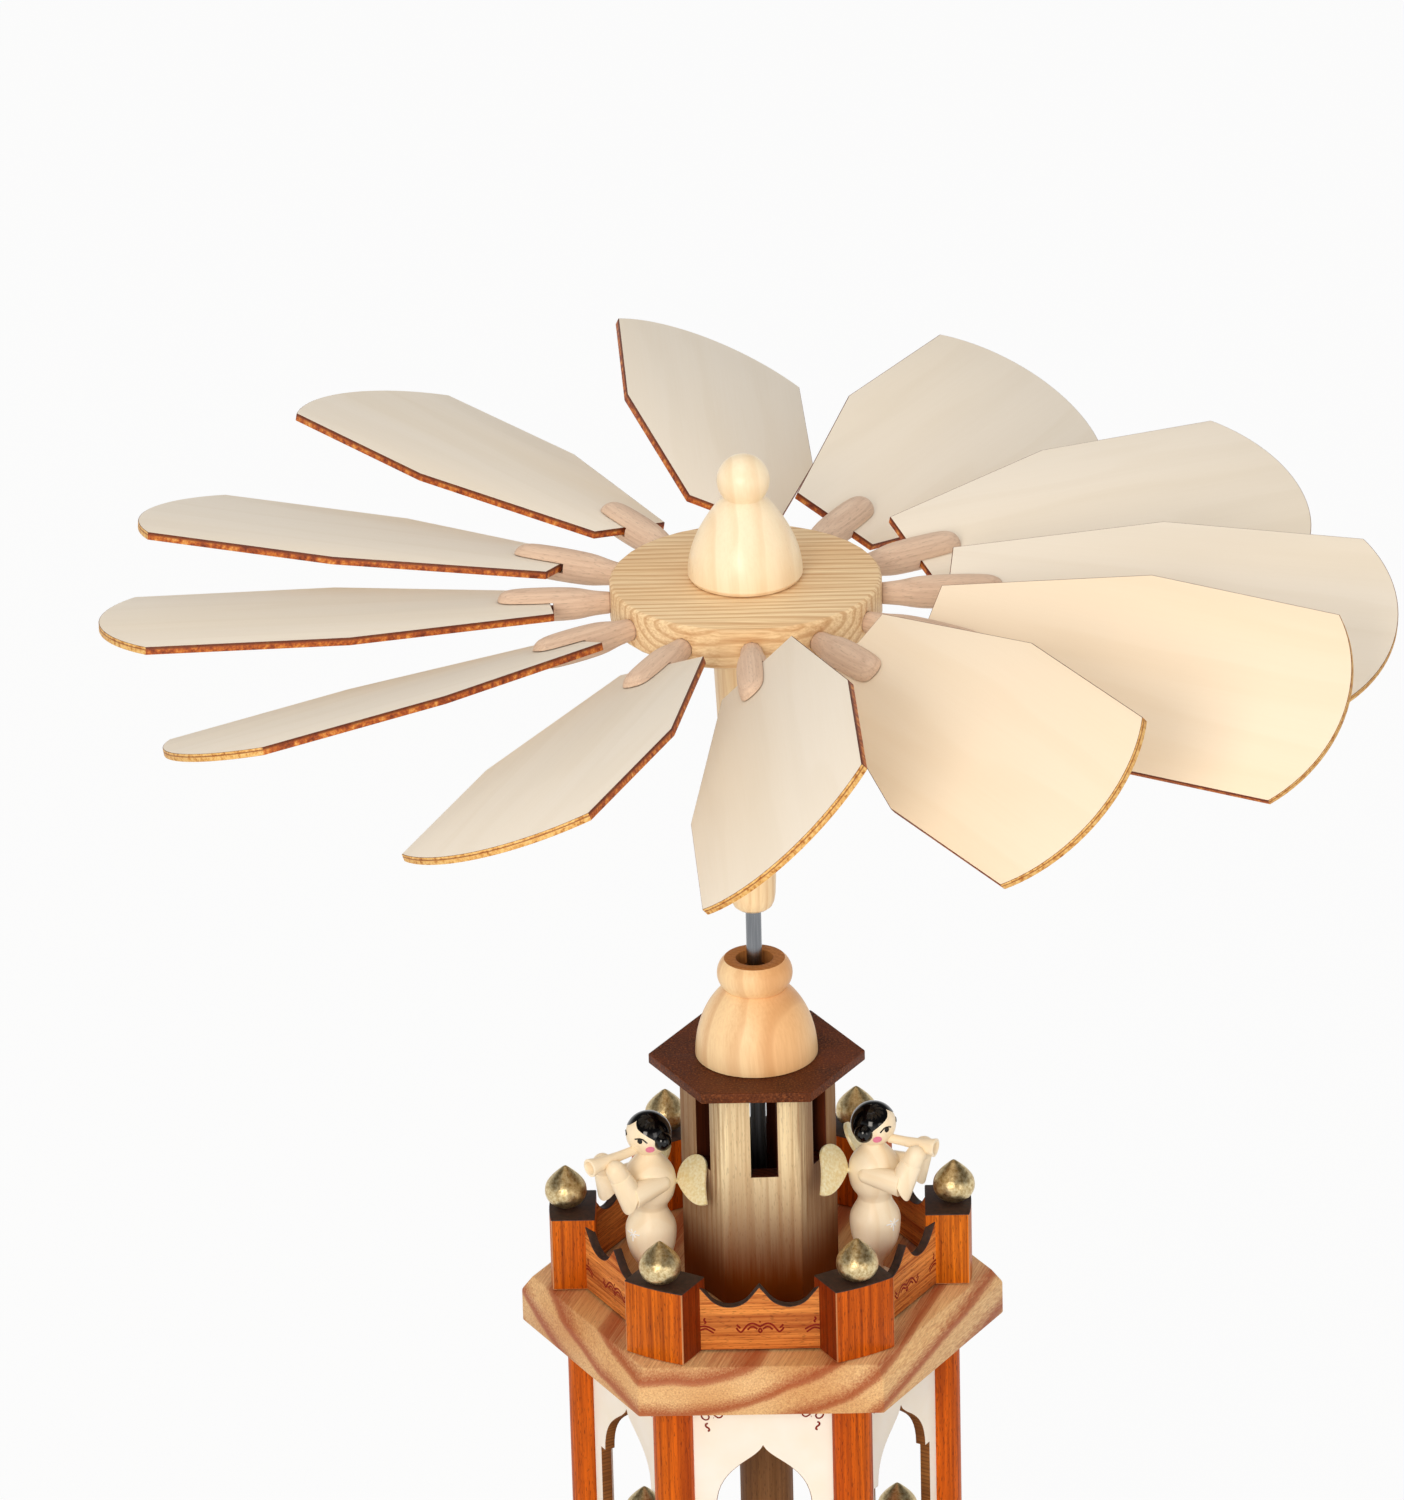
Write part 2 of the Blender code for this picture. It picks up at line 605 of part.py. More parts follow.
def angel(name, place, facing, trumpet, wing_set):
    """A turned angel that blows a trumpet, modelled to face +X and then turned its own way."""
    waist, chest = ANGEL_WAIST_HEIGHT, ANGEL_CHEST_RADIUS
    rise = ANGEL_NECK_HEIGHT - waist
    head_height = ANGEL_NECK_HEIGHT + HEAD_RADIUS
    mouth = Vector((0.712 * HEAD_RADIUS, 0, head_height - 0.589 * HEAD_RADIUS))
    bell = mouth + Vector((trumpet, 0, -0.096 * HEAD_RADIUS))
    turn, tilt, lean = wing_set
    shapes = [turned(angel_profile(), 14), ball(HEAD_RADIUS, (0, 0, head_height), segments=12),
              tapered_rod(mouth, bell, TRUMPET_MOUTH_RADIUS, TRUMPET_BELL_RADIUS)]
    for side in (-1, 1):
        shoulder = (-0.06 * chest, side * 0.776 * chest, waist + 0.568 * rise)
        elbow = (ARM_REACH, side * 0.776 * chest, waist + 0.516 * rise)
        sleeve = (1.05 * ARM_REACH, side * 0.753 * chest, waist + 0.30 * rise)
        hand = (HAND_REACH, side * 0.412 * chest, head_height - 0.918 * HEAD_RADIUS)
        bun = (-0.07 * HEAD_RADIUS, side * 0.95 * HEAD_RADIUS, head_height - 0.06 * HEAD_RADIUS)
        root = Vector((-0.85 * chest, side * 0.6 * chest, waist + 0.551 * rise))
        outward = Matrix.Rotation(math.radians(turn * side), 4, "Z")
        tilted = Matrix.Rotation(math.radians(tilt), 4, "Z")
        shapes.append(ball(BUN_RADIUS, bun, segments=8))
        shapes.append(tapered_rod(shoulder, elbow, ARM_RADIUS, 1.48 * ARM_RADIUS))
        shapes.append(tapered_rod(sleeve, hand, CUFF_RADIUS, HAND_RADIUS))
        shapes.append(ball(0.97 * HAND_RADIUS, hand, segments=8))
        inner = Vector((-0.353 * chest, side * 0.271 * chest, root.z - WING_THICKNESS / 2))
        beyond = root + 0.09 * (root - inner)
        peg_end = root + outward @ Vector((0.159 * WING_SPAN, 0, 0)) + Vector((0, 0, GAP))
        peg_start = root - outward @ Vector((0.063 * WING_SPAN, 0, 0))
        shapes.append(tapered_rod(inner, beyond, WING_PEG_RADIUS, WING_PEG_RADIUS, 6))
        shapes.append(tapered_rod(peg_start, peg_end, 1.2 * WING_PEG_RADIUS, WING_PEG_RADIUS, 6))
        wing = prism(wing_outline(), -WING_THICKNESS / 2, WING_THICKNESS / 2)
        upright = Matrix.Rotation(math.radians(lean * side + 90), 4, "X")
        sunk = Matrix.Translation(root - outward @ Vector((0.03 * WING_SPAN, 0, 0)))
        shapes.append(moved(wing, sunk @ outward @ upright @ tilted))
    made = fuse(name, shapes, limewood())
    direction, outward_shift = math.radians(place[0]), place[1]
    rail_inside = TOP_DECK_RADIUS * math.cos(HALF_CORNER) - RAIL_SETBACK - RAIL_THICKNESS
    circle = (TOWER_RADIUS + rail_inside) / 2 + outward_shift
    made.location = (circle * math.cos(direction), circle * math.sin(direction), TOP_TOP + GAP)
    made.rotation_euler = (0, 0, math.radians(facing))


def build_rod(cup_floor):
    tip = cup_floor + RUNNING_GAP
    top = HUB_TOP + GAP + KNOB_BORE_DEPTH - ROD_TOP_PLAY
    profile = ((0, tip), (ROD_RADIUS, tip + ROD_TIP_LENGTH), (ROD_RADIUS, top), (0, top))
    return add_object("axle", turned(profile, 16), steel())


def build_spindle():
    hole = ROD_RADIUS + GAP
    low, high = BASE_TOP + SPINDLE_FOOT_HEIGHT, TOP_UNDER - SPINDLE_TOP_GAP
    round_off = SPINDLE_RADIUS / 5
    profile = ((hole, low), (SPINDLE_RADIUS - round_off, low), (SPINDLE_RADIUS, low + round_off),
               (SPINDLE_RADIUS, high), (hole, high))
    return add_object("spindle", turned(profile, 24), walnut())


def turntable(name, radius, low):
    hole = SPINDLE_RADIUS + GAP
    top = low + DISC_THICKNESS
    profile = ((hole, low), (radius, low), (radius, top), (DISC_BOSS_RADIUS, top),
               (DISC_BOSS_RADIUS, top + DISC_BOSS_HEIGHT), (hole, top + DISC_BOSS_HEIGHT))
    return add_object(name, turned(profile, 28), pine())


def build_hub():
    hole = ROD_RADIUS + GAP
    edge = HUB_RADIUS - HUB_ROUNDING
    disc = ((hole, HUB_UNDER), (edge, HUB_UNDER), (HUB_RADIUS, HUB_UNDER + HUB_ROUNDING),
            (HUB_RADIUS, HUB_TOP - HUB_ROUNDING), (edge, HUB_TOP), (hole, HUB_TOP))
    hub = add_object("hub", turned(disc, 36), pine())
    drill_radius = PEG_TENON_RADIUS + RUNNING_GAP
    inner_end, outer_end = HUB_RADIUS - PEG_HOLE_DEPTH, HUB_RADIUS + HUB_ROUNDING
    drill = ((0, inner_end), (drill_radius, inner_end), (drill_radius, outer_end), (0, outer_end))
    lay = Matrix.Rotation(math.radians(90), 4, "Y")
    for number in range(1, BLADE_COUNT + 1):
        cut(hub, cutter("peg hole", turned(drill, 10), peg_seat(number) @ lay))
    low = HUB_UNDER - GAP - SLEEVE_LENGTH
    high = HUB_UNDER - GAP
    collar = high - SLEEVE_COLLAR_HEIGHT
    sleeve = ((hole, low), (0.62 * SLEEVE_END_RADIUS, low), (0.90 * SLEEVE_END_RADIUS, low + 0.0015),
              (SLEEVE_END_RADIUS, low + 0.005), (SLEEVE_TOP_RADIUS, collar),
              (SLEEVE_COLLAR_RADIUS, collar), (SLEEVE_COLLAR_RADIUS, high), (hole, high))
    parts = [hub, add_object("hub_sleeve", turned(sleeve, 24), limewood())]
    foot = HUB_TOP + GAP
    bell = bezier(((KNOB_RADIUS, foot), (1.04 * KNOB_RADIUS, foot + 0.35 * KNOB_NECK_HEIGHT),
                   (0.77 * KNOB_RADIUS, foot + 0.69 * KNOB_NECK_HEIGHT),
                   (KNOB_NECK_RADIUS, foot + KNOB_NECK_HEIGHT)), 6)
    top_ball = arc((0, foot + KNOB_BALL_HEIGHT), KNOB_BALL_RADIUS, -42, 90, 6)
    knob = [(0, foot + KNOB_BORE_DEPTH), (hole, foot + KNOB_BORE_DEPTH), (hole, foot)] + bell
    knob += top_ball[:-1] + [(0, foot + KNOB_BALL_HEIGHT + KNOB_BALL_RADIUS)]
    parts.append(add_object("hub_knob", turned(knob, 22), limewood()))
    return parts


def blade_angle(number):
    """The way a peg points, as an angle from +X. The front blade points along -Y, turned a little."""
    step = 360 / BLADE_COUNT
    return math.radians(FAN_TURN + step * (FRONT_BLADE - number) - 90)


def peg_seat(number):
    """The frame of one peg: X outward along it. Its droop turns about the middle of its hole."""
    droop = math.radians(BLADE_SET[number - 1][2])
    middle = Matrix.Translation((HUB_RADIUS - PEG_HOLE_DEPTH / 2, 0, 0))
    height = Matrix.Translation((0, 0, PEG_AXIS_HEIGHT))
    lean = middle @ Matrix.Rotation(droop, 4, "Y") @ middle.inverted()
    return around(blade_angle(number)) @ height @ lean


def peg_mesh(length):
    """A round peg along X: tenon, slim neck, and a thicker head with a blunt end."""
    start = HUB_RADIUS - PEG_HOLE_DEPTH + RUNNING_GAP
    end = HUB_RADIUS + length
    head = ((0.14, 0.74), (0.34, 0.96), (0.62, 1.0), (0.88, 0.92), (0.975, 0.62))
    profile = [(0, start), (PEG_TENON_RADIUS, start), (PEG_TENON_RADIUS, HUB_RADIUS)]
    profile += [(PEG_RADIUS * r, HUB_RADIUS + length * x) for x, r in head]
    profile += [(PEG_RADIUS * 0.3, end), (0, end)]
    return moved(turned(profile, 10), Matrix.Rotation(math.radians(90), 4, "Y"))


def blade_outline():
    root, shoulder, tip = BLADE_ROOT_WIDTH / 2, BLADE_SHOULDER_WIDTH / 2, BLADE_TIP_WIDTH / 2
    corner = BLADE_LENGTH - BLADE_TIP_RISE
    radius = (tip ** 2 + BLADE_TIP_RISE ** 2) / (2 * BLADE_TIP_RISE)
    spread = math.degrees(math.asin(tip / radius))
    end = arc((BLADE_LENGTH - radius, 0), radius, -spread, spread, 10)
    return ([(0, -root), (BLADE_SHOULDER_LENGTH, -shoulder)] + [(corner, -tip)] + end[1:-1]
            + [(corner, tip), (BLADE_SHOULDER_LENGTH, shoulder), (0, root)])


def build_blades(rotor):
    for number, (pitch, skew, _, out, reach) in enumerate(BLADE_SET, start=1):
        axis = bpy.data.objects.new(f"blade_{number}_axis", None)
        bpy.context.scene.collection.objects.link(axis)
        axis.parent = rotor
        axis.matrix_basis = peg_seat(number) @ Matrix.Rotation(math.radians(pitch), 4, "X")
        peg = add_object(f"blade_peg_{number}", peg_mesh(PEG_LENGTH + reach), beech())
        slit = BLADE_THICKNESS / 2 + GAP
        corner = (PEG_RADIUS + BLADE_SHIFT) * math.sin(math.radians(abs(skew)))
        slit_start = BLADE_START + out - corner - PEG_SLIT_END_GAP
        opening = cutter("peg slit", box((slit_start, -2 * PEG_RADIUS, -slit),
                                         (HUB_RADIUS + 2 * PEG_LENGTH, 2 * PEG_RADIUS, slit)))
        cut(peg, opening)
        blade = add_object(f"blade_{number}",
                           prism(blade_outline(), -BLADE_THICKNESS / 2, BLADE_THICKNESS / 2), plywood())
        blade.location = (BLADE_START + out, BLADE_SHIFT, 0)
        blade.rotation_euler = (0, 0, math.radians(skew))
        for item in (peg, opening, blade):
            item.parent = axis


def doll(height, radius, crown=0.0):
    """A turned doll: skirt, waist, shoulders, neck and round head, with a rim on top for a crown."""
    shape = [(0, 0), (1, 0), (0.94, 0.12), (0.66, 0.46), (0.72, 0.60), (0.55, 0.68), (0.30, 0.71),
             (0.30, 0.73), (0.52, 0.78), (0.62, 0.86)]
    if crown:
        shape += [(0.56, 0.91), (0.66, 0.91 + crown), (0.36, 0.91 + 0.6 * crown), (0, 1)]
    else:
        shape += [(0.50, 0.94), (0.27, 0.985), (0, 1)]
    return turned([(radius * r, height * z) for r, z in shape], 10)


def at_circle(bm, circle, degrees, height=0.0):
    return moved(bm, around(math.radians(degrees)) @ Matrix.Translation((circle, 0, height)))


def plinth(inner, outer, start, end):
    """A thin board cut to a piece of a ring, which the figures of one group are glued to."""
    outline = arc((0, 0), outer, start, end, 10) + arc((0, 0), inner, end, start, 10)
    return prism(outline, 0.0, PLINTH_THICKNESS)


def sheep(circle, degrees):
    """A carved sheep: round body, smaller head and two pairs of legs left as one block each."""
    half = SHEEP_LENGTH / 2
    height = 0.62 * SHEEP_LENGTH
    stand = PLINTH_THICKNESS - SINK
    shapes = [ball(half, (0, 0, stand + height), (0.48, 0.9, 0.5), 10),
              ball(0.36 * half, (0, 0.95 * half, stand + height + 0.35 * half), (0.8, 1.2, 0.9), 8)]
    for y in (-0.45 * half, 0.45 * half):
        shapes.append(box((-0.31 * half, y - 0.14 * half, stand),
                          (0.29 * half, y + 0.14 * half, stand + height)))
    return [at_circle(shape, circle, degrees) for shape in shapes]


def build_figures(rotor, ground_top, middle_top):
    stand = PLINTH_THICKNESS - SINK
    kings = [plinth(KING_CIRCLE - 1.15 * KING_RADIUS, KING_CIRCLE + 1.15 * KING_RADIUS, 40, 140)]
    for degrees, crown in ((55, 0.10), (90, 0.13), (125, 0.08)):
        kings.append(at_circle(doll(KING_HEIGHT, KING_RADIUS, crown), KING_CIRCLE, degrees, stand))
    family = [plinth(FOLK_CIRCLE - FOLK_RADIUS * 1.1, FOLK_CIRCLE + FOLK_RADIUS * 1.1, 35, 125)]
    family.append(at_circle(doll(JOSEPH_HEIGHT, FOLK_RADIUS), FOLK_CIRCLE, 50, stand))
    family.append(at_circle(doll(MARY_HEIGHT, FOLK_RADIUS), FOLK_CIRCLE, 110, stand))
    manger = 0.0062
    half_trough = [(1.0, 0.55), (1.35, 1.5), (1.05, 1.5), (0.7, 0.85)]
    trough = half_trough + [(-x, z) for x, z in reversed(half_trough)]
    trough = [(x * manger, z * manger) for x, z in trough]
    upright = Matrix.Rotation(math.radians(90), 4, "X")
    family.append(at_circle(moved(prism(trough, -manger, manger), upright), FOLK_CIRCLE, 80, stand))
    half = 0.8 * manger
    family.append(at_circle(box((-half, -half, 0), (half, half, 0.7 * manger)), FOLK_CIRCLE, 80, stand))
    flock = [plinth(FOLK_CIRCLE - FOLK_RADIUS * 1.1, FOLK_CIRCLE + FOLK_RADIUS * 1.1, 205, 305)]
    flock.append(at_circle(doll(SHEPHERD_HEIGHT, FOLK_RADIUS), FOLK_CIRCLE, 225, stand))
    staff = tapered_rod((0, 0, 0), (0, 0, 1.08 * SHEPHERD_HEIGHT), STAFF_RADIUS, STAFF_RADIUS, 8)
    flock.append(at_circle(staff, FOLK_CIRCLE + 0.55 * FOLK_RADIUS, 240, stand))
    flock += sheep(FOLK_CIRCLE, 262) + sheep(FOLK_CIRCLE, 290)
    groups = (("three_kings", kings, middle_top), ("holy_family", family, ground_top),
              ("shepherd_group", flock, ground_top))
    for name, shapes, height in groups:
        group = fuse(name, shapes, limewood())
        group.location = (0, 0, height + GAP)
        group.parent = rotor


def build():
    clear_scene()
    build_decks()
    arcade("lower_arcade", LOWER_COLUMN_CIRCLE, BASE_TOP + GAP, LOWER_COLUMN_HEIGHT)
    arcade("upper_arcade", UPPER_COLUMN_CIRCLE, MIDDLE_TOP + GAP, UPPER_COLUMN_HEIGHT)
    build_balustrades()
    build_tower()
    build_dome()
    build_candle_holders()
    angel("angel_left", ANGEL_LEFT_PLACE, ANGEL_LEFT_FACING, ANGEL_LEFT_TRUMPET, WING_LEFT_SET)
    angel("angel_right", ANGEL_RIGHT_PLACE, ANGEL_RIGHT_FACING, ANGEL_RIGHT_TRUMPET, WING_RIGHT_SET)
    rotor = bpy.data.objects.new("rotor_axis", None)
    bpy.context.scene.collection.objects.link(rotor)
    turning = [build_rod(build_pivot_cup()), build_spindle()]
    turning.append(turntable("ground_turntable", GROUND_DISC_RADIUS, BASE_TOP + GROUND_DISC_HEIGHT))
    turning.append(turntable("middle_turntable", MIDDLE_DISC_RADIUS, MIDDLE_TOP + MIDDLE_DISC_HEIGHT))
    turning += build_hub()
    for item in turning:
        item.parent = rotor
    build_blades(rotor)
    build_figures(rotor, BASE_TOP + GROUND_DISC_HEIGHT + DISC_THICKNESS,
                  MIDDLE_TOP + MIDDLE_DISC_HEIGHT + DISC_THICKNESS)
    bpy.context.view_layer.update()


build()
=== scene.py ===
import math

import bpy
from mathutils import Matrix, Vector


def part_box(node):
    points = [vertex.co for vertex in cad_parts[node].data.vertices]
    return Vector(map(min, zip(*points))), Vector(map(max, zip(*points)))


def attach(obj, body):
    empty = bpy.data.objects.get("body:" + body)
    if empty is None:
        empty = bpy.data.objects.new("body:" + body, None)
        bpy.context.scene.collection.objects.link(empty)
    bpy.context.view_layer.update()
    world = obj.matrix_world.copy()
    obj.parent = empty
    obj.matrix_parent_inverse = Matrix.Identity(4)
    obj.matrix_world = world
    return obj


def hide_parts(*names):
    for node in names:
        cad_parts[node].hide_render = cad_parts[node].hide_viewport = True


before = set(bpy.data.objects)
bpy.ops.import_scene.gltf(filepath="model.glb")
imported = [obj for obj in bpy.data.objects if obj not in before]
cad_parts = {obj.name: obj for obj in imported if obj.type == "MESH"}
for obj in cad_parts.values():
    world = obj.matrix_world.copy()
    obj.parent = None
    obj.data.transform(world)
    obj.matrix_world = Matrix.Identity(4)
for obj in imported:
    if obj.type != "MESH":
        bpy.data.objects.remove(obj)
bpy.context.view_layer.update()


# Base board. A thick hexagon of glued-up pine, planed, chamfered all round and varnished satin.
# The whole pyramid stands on it. Its edges are only broken with sandpaper.

def linear(code):
    """A chart colour, #rrggbb, in the light values that shaders take."""
    parts = [int(code[i:i + 2], 16) / 255 for i in (1, 3, 5)]
    return tuple(c / 12.92 if c <= 0.04045 else ((c + 0.055) / 1.055) ** 2.4 for c in parts) + (1.0,)


def add(tree, kind, sockets=(), stops=(), out=0, **settings):
    """One node with its settings; each socket gets a value or is joined to another node's output."""
    made = tree.nodes.new("ShaderNode" + kind)
    for key, value in settings.items():
        setattr(made, key, value)
    for number, (place, colour) in enumerate(stops):
        spot = made.color_ramp.elements.new(place) if number > 1 else made.color_ramp.elements[number]
        spot.position = place
        spot.color = linear(colour)
    for key, value in dict(sockets).items():
        if isinstance(value, bpy.types.NodeSocket):
            tree.links.new(value, made.inputs[key])
        else:
            made.inputs[key].default_value = value
    return made.outputs[out]


def finish(name, **constants):
    """A material with one shader, whose constants are set on its own sockets."""
    made = bpy.data.materials.new(name)
    made.use_nodes = True
    shader = made.node_tree.nodes["Principled BSDF"]
    for key, value in constants.items():
        shader.inputs[key.replace("_", " ")].default_value = value
    return made, made.node_tree, shader.inputs


def wire(tree, shader, **outputs):
    """Joins nodes' outputs to the shader's sockets."""
    for key, output in outputs.items():
        tree.links.new(output, shader[key.replace("_", " ")])


def timber(name, pale, late, patch, ring, pith, fibre, turn=(0, 0, 0), wobble=3.0, lines=0.75,
           spread=0.4, pores=0.0, relief=0.02, rough=(0.42, 0.58), gleam=0.25, ragged=0.12, fine=1.3,
           crisp=0.75, stain=None):
    """Wood as a solid that the piece is cut from: growth rings round the heart of the tree.

    The grain runs along Z before turn, in degrees, lays it another way. pith is how far the heart
    lies from the piece's own origin and ring the width of one year, both in mm. lines, fibre,
    spread and pores are the strength of latewood, fine streaks, patches and dark pores. There are
    about fine streaks to a mm, the lower crisp is the harder they look, and they fray each ring by
    ragged. stain is a tone that darkens the piece towards its foot, the heights in metres where it
    starts and stops to fade, its strength, and where it sets in again at the sides as painted shade,
    with that shade's strength. Each piece carries the place of its points on the bench
    in the attribute grain, so no two show the same figure.
    """
    made, tree, shader = finish(name, IOR=1.5, Specular_IOR_Level=gleam)
    bench = add(tree, "Attribute", attribute_name="grain", out="Vector")
    place = add(tree, "Mapping", {"Vector": bench, "Location": pith, "Scale": (1000, 1000, 1000),
                                  "Rotation": [math.radians(a) for a in turn]})
    slow = add(tree, "Mapping", {"Vector": place, "Scale": (1, 1, 0.12)})
    long = add(tree, "Mapping", {"Vector": place, "Scale": (1, 1, 0.025)})
    sway = add(tree, "TexNoise", {"Vector": slow, "Scale": 0.045, "Detail": 2.0})
    across = add(tree, "VectorMath", {0: place, 1: (1, 1, 0)}, operation="MULTIPLY")
    reach = add(tree, "VectorMath", {0: across}, operation="LENGTH", out="Value")
    bent = add(tree, "Math", {0: sway, 1: 2 * wobble, 2: reach}, operation="MULTIPLY_ADD")
    years = add(tree, "Math", {0: bent, 1: ring}, operation="DIVIDE")
    hair = add(tree, "TexNoise", {"Vector": long, "Scale": fine, "Detail": 4.0, "Roughness": 0.65})
    years = add(tree, "Math", {0: hair, 1: ragged, 2: years}, operation="MULTIPLY_ADD")
    part = add(tree, "Math", {0: years}, operation="FRACT")
    latewood = add(tree, "ValToRGB", {0: part}, stops=(
        (0.0, "#000000"), (1.0, "#000000"), (0.45, "#303030"), (0.82, "#ffffff"), (0.93, "#e0e0e0")))
    cloud = add(tree, "TexNoise", {"Vector": slow, "Scale": 0.03, "Detail": 1.0})
    patchy = add(tree, "MapRange", {"Value": cloud, "From Min": 0.42, "From Max": 0.68, "To Max": spread})
    ground = add(tree, "MixRGB", {0: patchy, 1: linear(pale), 2: linear(patch)})
    hairy = add(tree, "MapRange", {"Value": hair, "From Min": 0.37, "From Max": crisp, "To Max": fibre})
    ground = add(tree, "MixRGB", {0: hairy, 1: ground, 2: linear(late)})
    late_share = add(tree, "Math", {0: latewood, 1: lines}, operation="MULTIPLY")
    colour = add(tree, "MixRGB", {0: late_share, 1: ground, 2: linear(late)})
    if pores:
        vessel = add(tree, "Mapping", {"Vector": place, "Scale": (1, 1, 0.16)})
        vessel = add(tree, "TexNoise", {"Vector": vessel, "Scale": 2.6, "Detail": 1.0})
        vessel = add(tree, "MapRange", {"Value": vessel, "From Min": 0.60, "From Max": 0.70, "To Max": pores})
        colour = add(tree, "MixRGB", {0: vessel, 1: colour, 2: linear("#2a0d06")})
    if stain:
        tone, low, high, share, (start, end, shade_share) = stain
        apart = add(tree, "SeparateXYZ", {0: bench}).node.outputs
        wander = add(tree, "Math", {0: hair, 1: 0.018, 2: apart["Z"]}, operation="MULTIPLY_ADD")
        darkening = add(tree, "MapRange", {"Value": wander, "From Min": low, "From Max": high,
                                       "To Min": share, "To Max": 0.0}, interpolation_type="SMOOTHSTEP")
        # Painted shade: towards the sides, away from the middle in X, the tone sets in again.
        side_shade = add(tree, "Math", {0: apart["X"]}, operation="ABSOLUTE")
        side_shade = add(tree, "Math", {0: hair, 1: 0.008, 2: side_shade}, operation="MULTIPLY_ADD")
        side_shade = add(tree, "MapRange", {"Value": side_shade, "From Min": start, "From Max": end,
                                       "To Max": shade_share})
        darkening = add(tree, "Math", {0: darkening, 1: side_shade}, operation="MAXIMUM")
        colour = add(tree, "MixRGB", {0: darkening, 1: colour, 2: linear(tone)})
    sheen = add(tree, "MapRange", {"Value": hair, "From Min": 0.3, "From Max": 0.7,
                                   "To Min": rough[0], "To Max": rough[1]})
    height = add(tree, "Math", {0: hair, 1: 0.7, 2: late_share}, operation="MULTIPLY_ADD")
    bump = add(tree, "Bump", {"Strength": 1.0, "Distance": relief / 1000, "Height": height})
    wire(tree, shader, Base_Color=colour, Roughness=sheen, Normal=bump)
    return made


def use(piece):
    """Nothing else selected, this piece active."""
    bpy.ops.object.select_all(action="DESELECT")
    piece.select_set(True)
    bpy.context.view_layer.objects.active = piece


def edit(piece):
    """Opens a piece's mesh with all of it selected."""
    use(piece)
    bpy.ops.object.mode_set(mode="EDIT")
    bpy.ops.mesh.select_all(action="SELECT")


def soften(piece, width, steps=2, sharp=30):
    """Breaks the sharp edges to a round, width in mm, as sandpaper does, and shades the rest smooth."""
    use(piece)
    bpy.ops.object.modifier_add(type="BEVEL")
    edge = piece.modifiers[-1]
    edge.width = width / 1000
    edge.segments = steps
    edge.limit_method = "ANGLE"
    edge.angle_limit = math.radians(sharp)
    bpy.ops.object.modifier_apply(modifier=edge.name)
    bpy.ops.object.shade_smooth_by_angle(angle=math.radians(25))


def keep_grain(piece, shift=(0, 0, 0)):
    """Writes each point's place on the bench into the piece, moved along the plank by mm."""
    kept = piece.data.attributes.get("grain") or piece.data.attributes.new("grain", "FLOAT_VECTOR", "POINT")
    for corner, mark in zip(piece.data.vertices, kept.data):
        mark.vector = corner.co + Vector(shift) / 1000


def give(piece, *finishes):
    """The piece's materials, in the order that its faces number them."""
    piece.data.materials.clear()
    for made in finishes:
        piece.data.materials.append(made)
    return piece


def ride_all(piece, slot, body, *nodes):
    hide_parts(*nodes)
    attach(piece, body)


def from_frame(name, node, width, *finishes):
    """The frame's own solid as one skin, with its edges broken."""
    piece = bpy.data.objects.new(name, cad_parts[node].data.copy())
    bpy.context.scene.collection.objects.link(piece)
    give(piece, *finishes)
    edit(piece)
    bpy.ops.mesh.remove_doubles(threshold=1e-6)
    bpy.ops.mesh.dissolve_limited(angle_limit=math.radians(0.5))
    bpy.ops.object.mode_set(mode="OBJECT")
    soften(piece, width)
    keep_grain(piece)
    return piece


# Fast-grown pine, planed and satin varnished: the heart of the tree lies 80 mm above the board and
# to its left, years are 11 mm wide, and the grain runs from front to back, so wide reddish
# latewood bands rise across the front edge and run slantwise over the top.
board_pine = timber("satin varnished pine, flat sawn", "#f0c68c", "#a2441a", "#cf8e4c", ring=11.0,
                    pith=(10.7, 77, 0), turn=(90, -17, 0), lines=0.88, fibre=0.5, spread=0.75,
                    pores=0.2, ragged=0.38, fine=1.7, crisp=0.7)
base = from_frame("pine_base_board", "base_board", 0.6, board_pine)
ride_all(base, "pine", "stand", "base_board")


# Pivot cup and rod. A turned brass cup is let into the base; the pointed steel rod spins in its cone
# and runs up through every tier to the knob on the fan.

def heights(node):
    """The lowest and the highest point of a node in mm, the unit of every length from here on."""
    low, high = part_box(node)
    return 1000 * low.z, 1000 * high.z


def line(name, points):
    """Starts a piece: one corner, drawn out from point to point, left open with all selected."""
    points = [tuple(v / 1000 for v in point) for point in points]
    bpy.ops.object.select_all(action="DESELECT")
    bpy.ops.mesh.primitive_plane_add(size=0.001)
    piece = bpy.context.object
    piece.name = piece.data.name = name
    bpy.ops.object.mode_set(mode="EDIT")
    bpy.ops.mesh.merge(type="CENTER")
    bpy.ops.transform.translate(value=points[0])
    for here, there in zip(points, points[1:]):
        step = Vector(there) - Vector(here)
        bpy.ops.mesh.extrude_vertices_move(TRANSFORM_OT_translate={"value": step})
    bpy.ops.mesh.select_all(action="SELECT")
    return piece


def lathe(name, profile, sides=48, edge=0.2):
    """A turned piece: its outline as radius and height, spun round Z, closed round a bore if it has one."""
    points = [(radius, 0.0, height) for radius, height in profile]
    piece = line(name, points + points[:1] if profile[0][0] > 0 else points)
    bpy.ops.mesh.spin(steps=sides, angle=math.tau, center=(0, 0, 0), axis=(0, 0, 1))
    bpy.ops.mesh.select_all(action="SELECT")
    bpy.ops.mesh.remove_doubles(threshold=2e-6)
    bpy.ops.mesh.normals_make_consistent(inside=False)
    bpy.ops.object.mode_set(mode="OBJECT")
    soften(piece, edge)
    keep_grain(piece)
    return piece


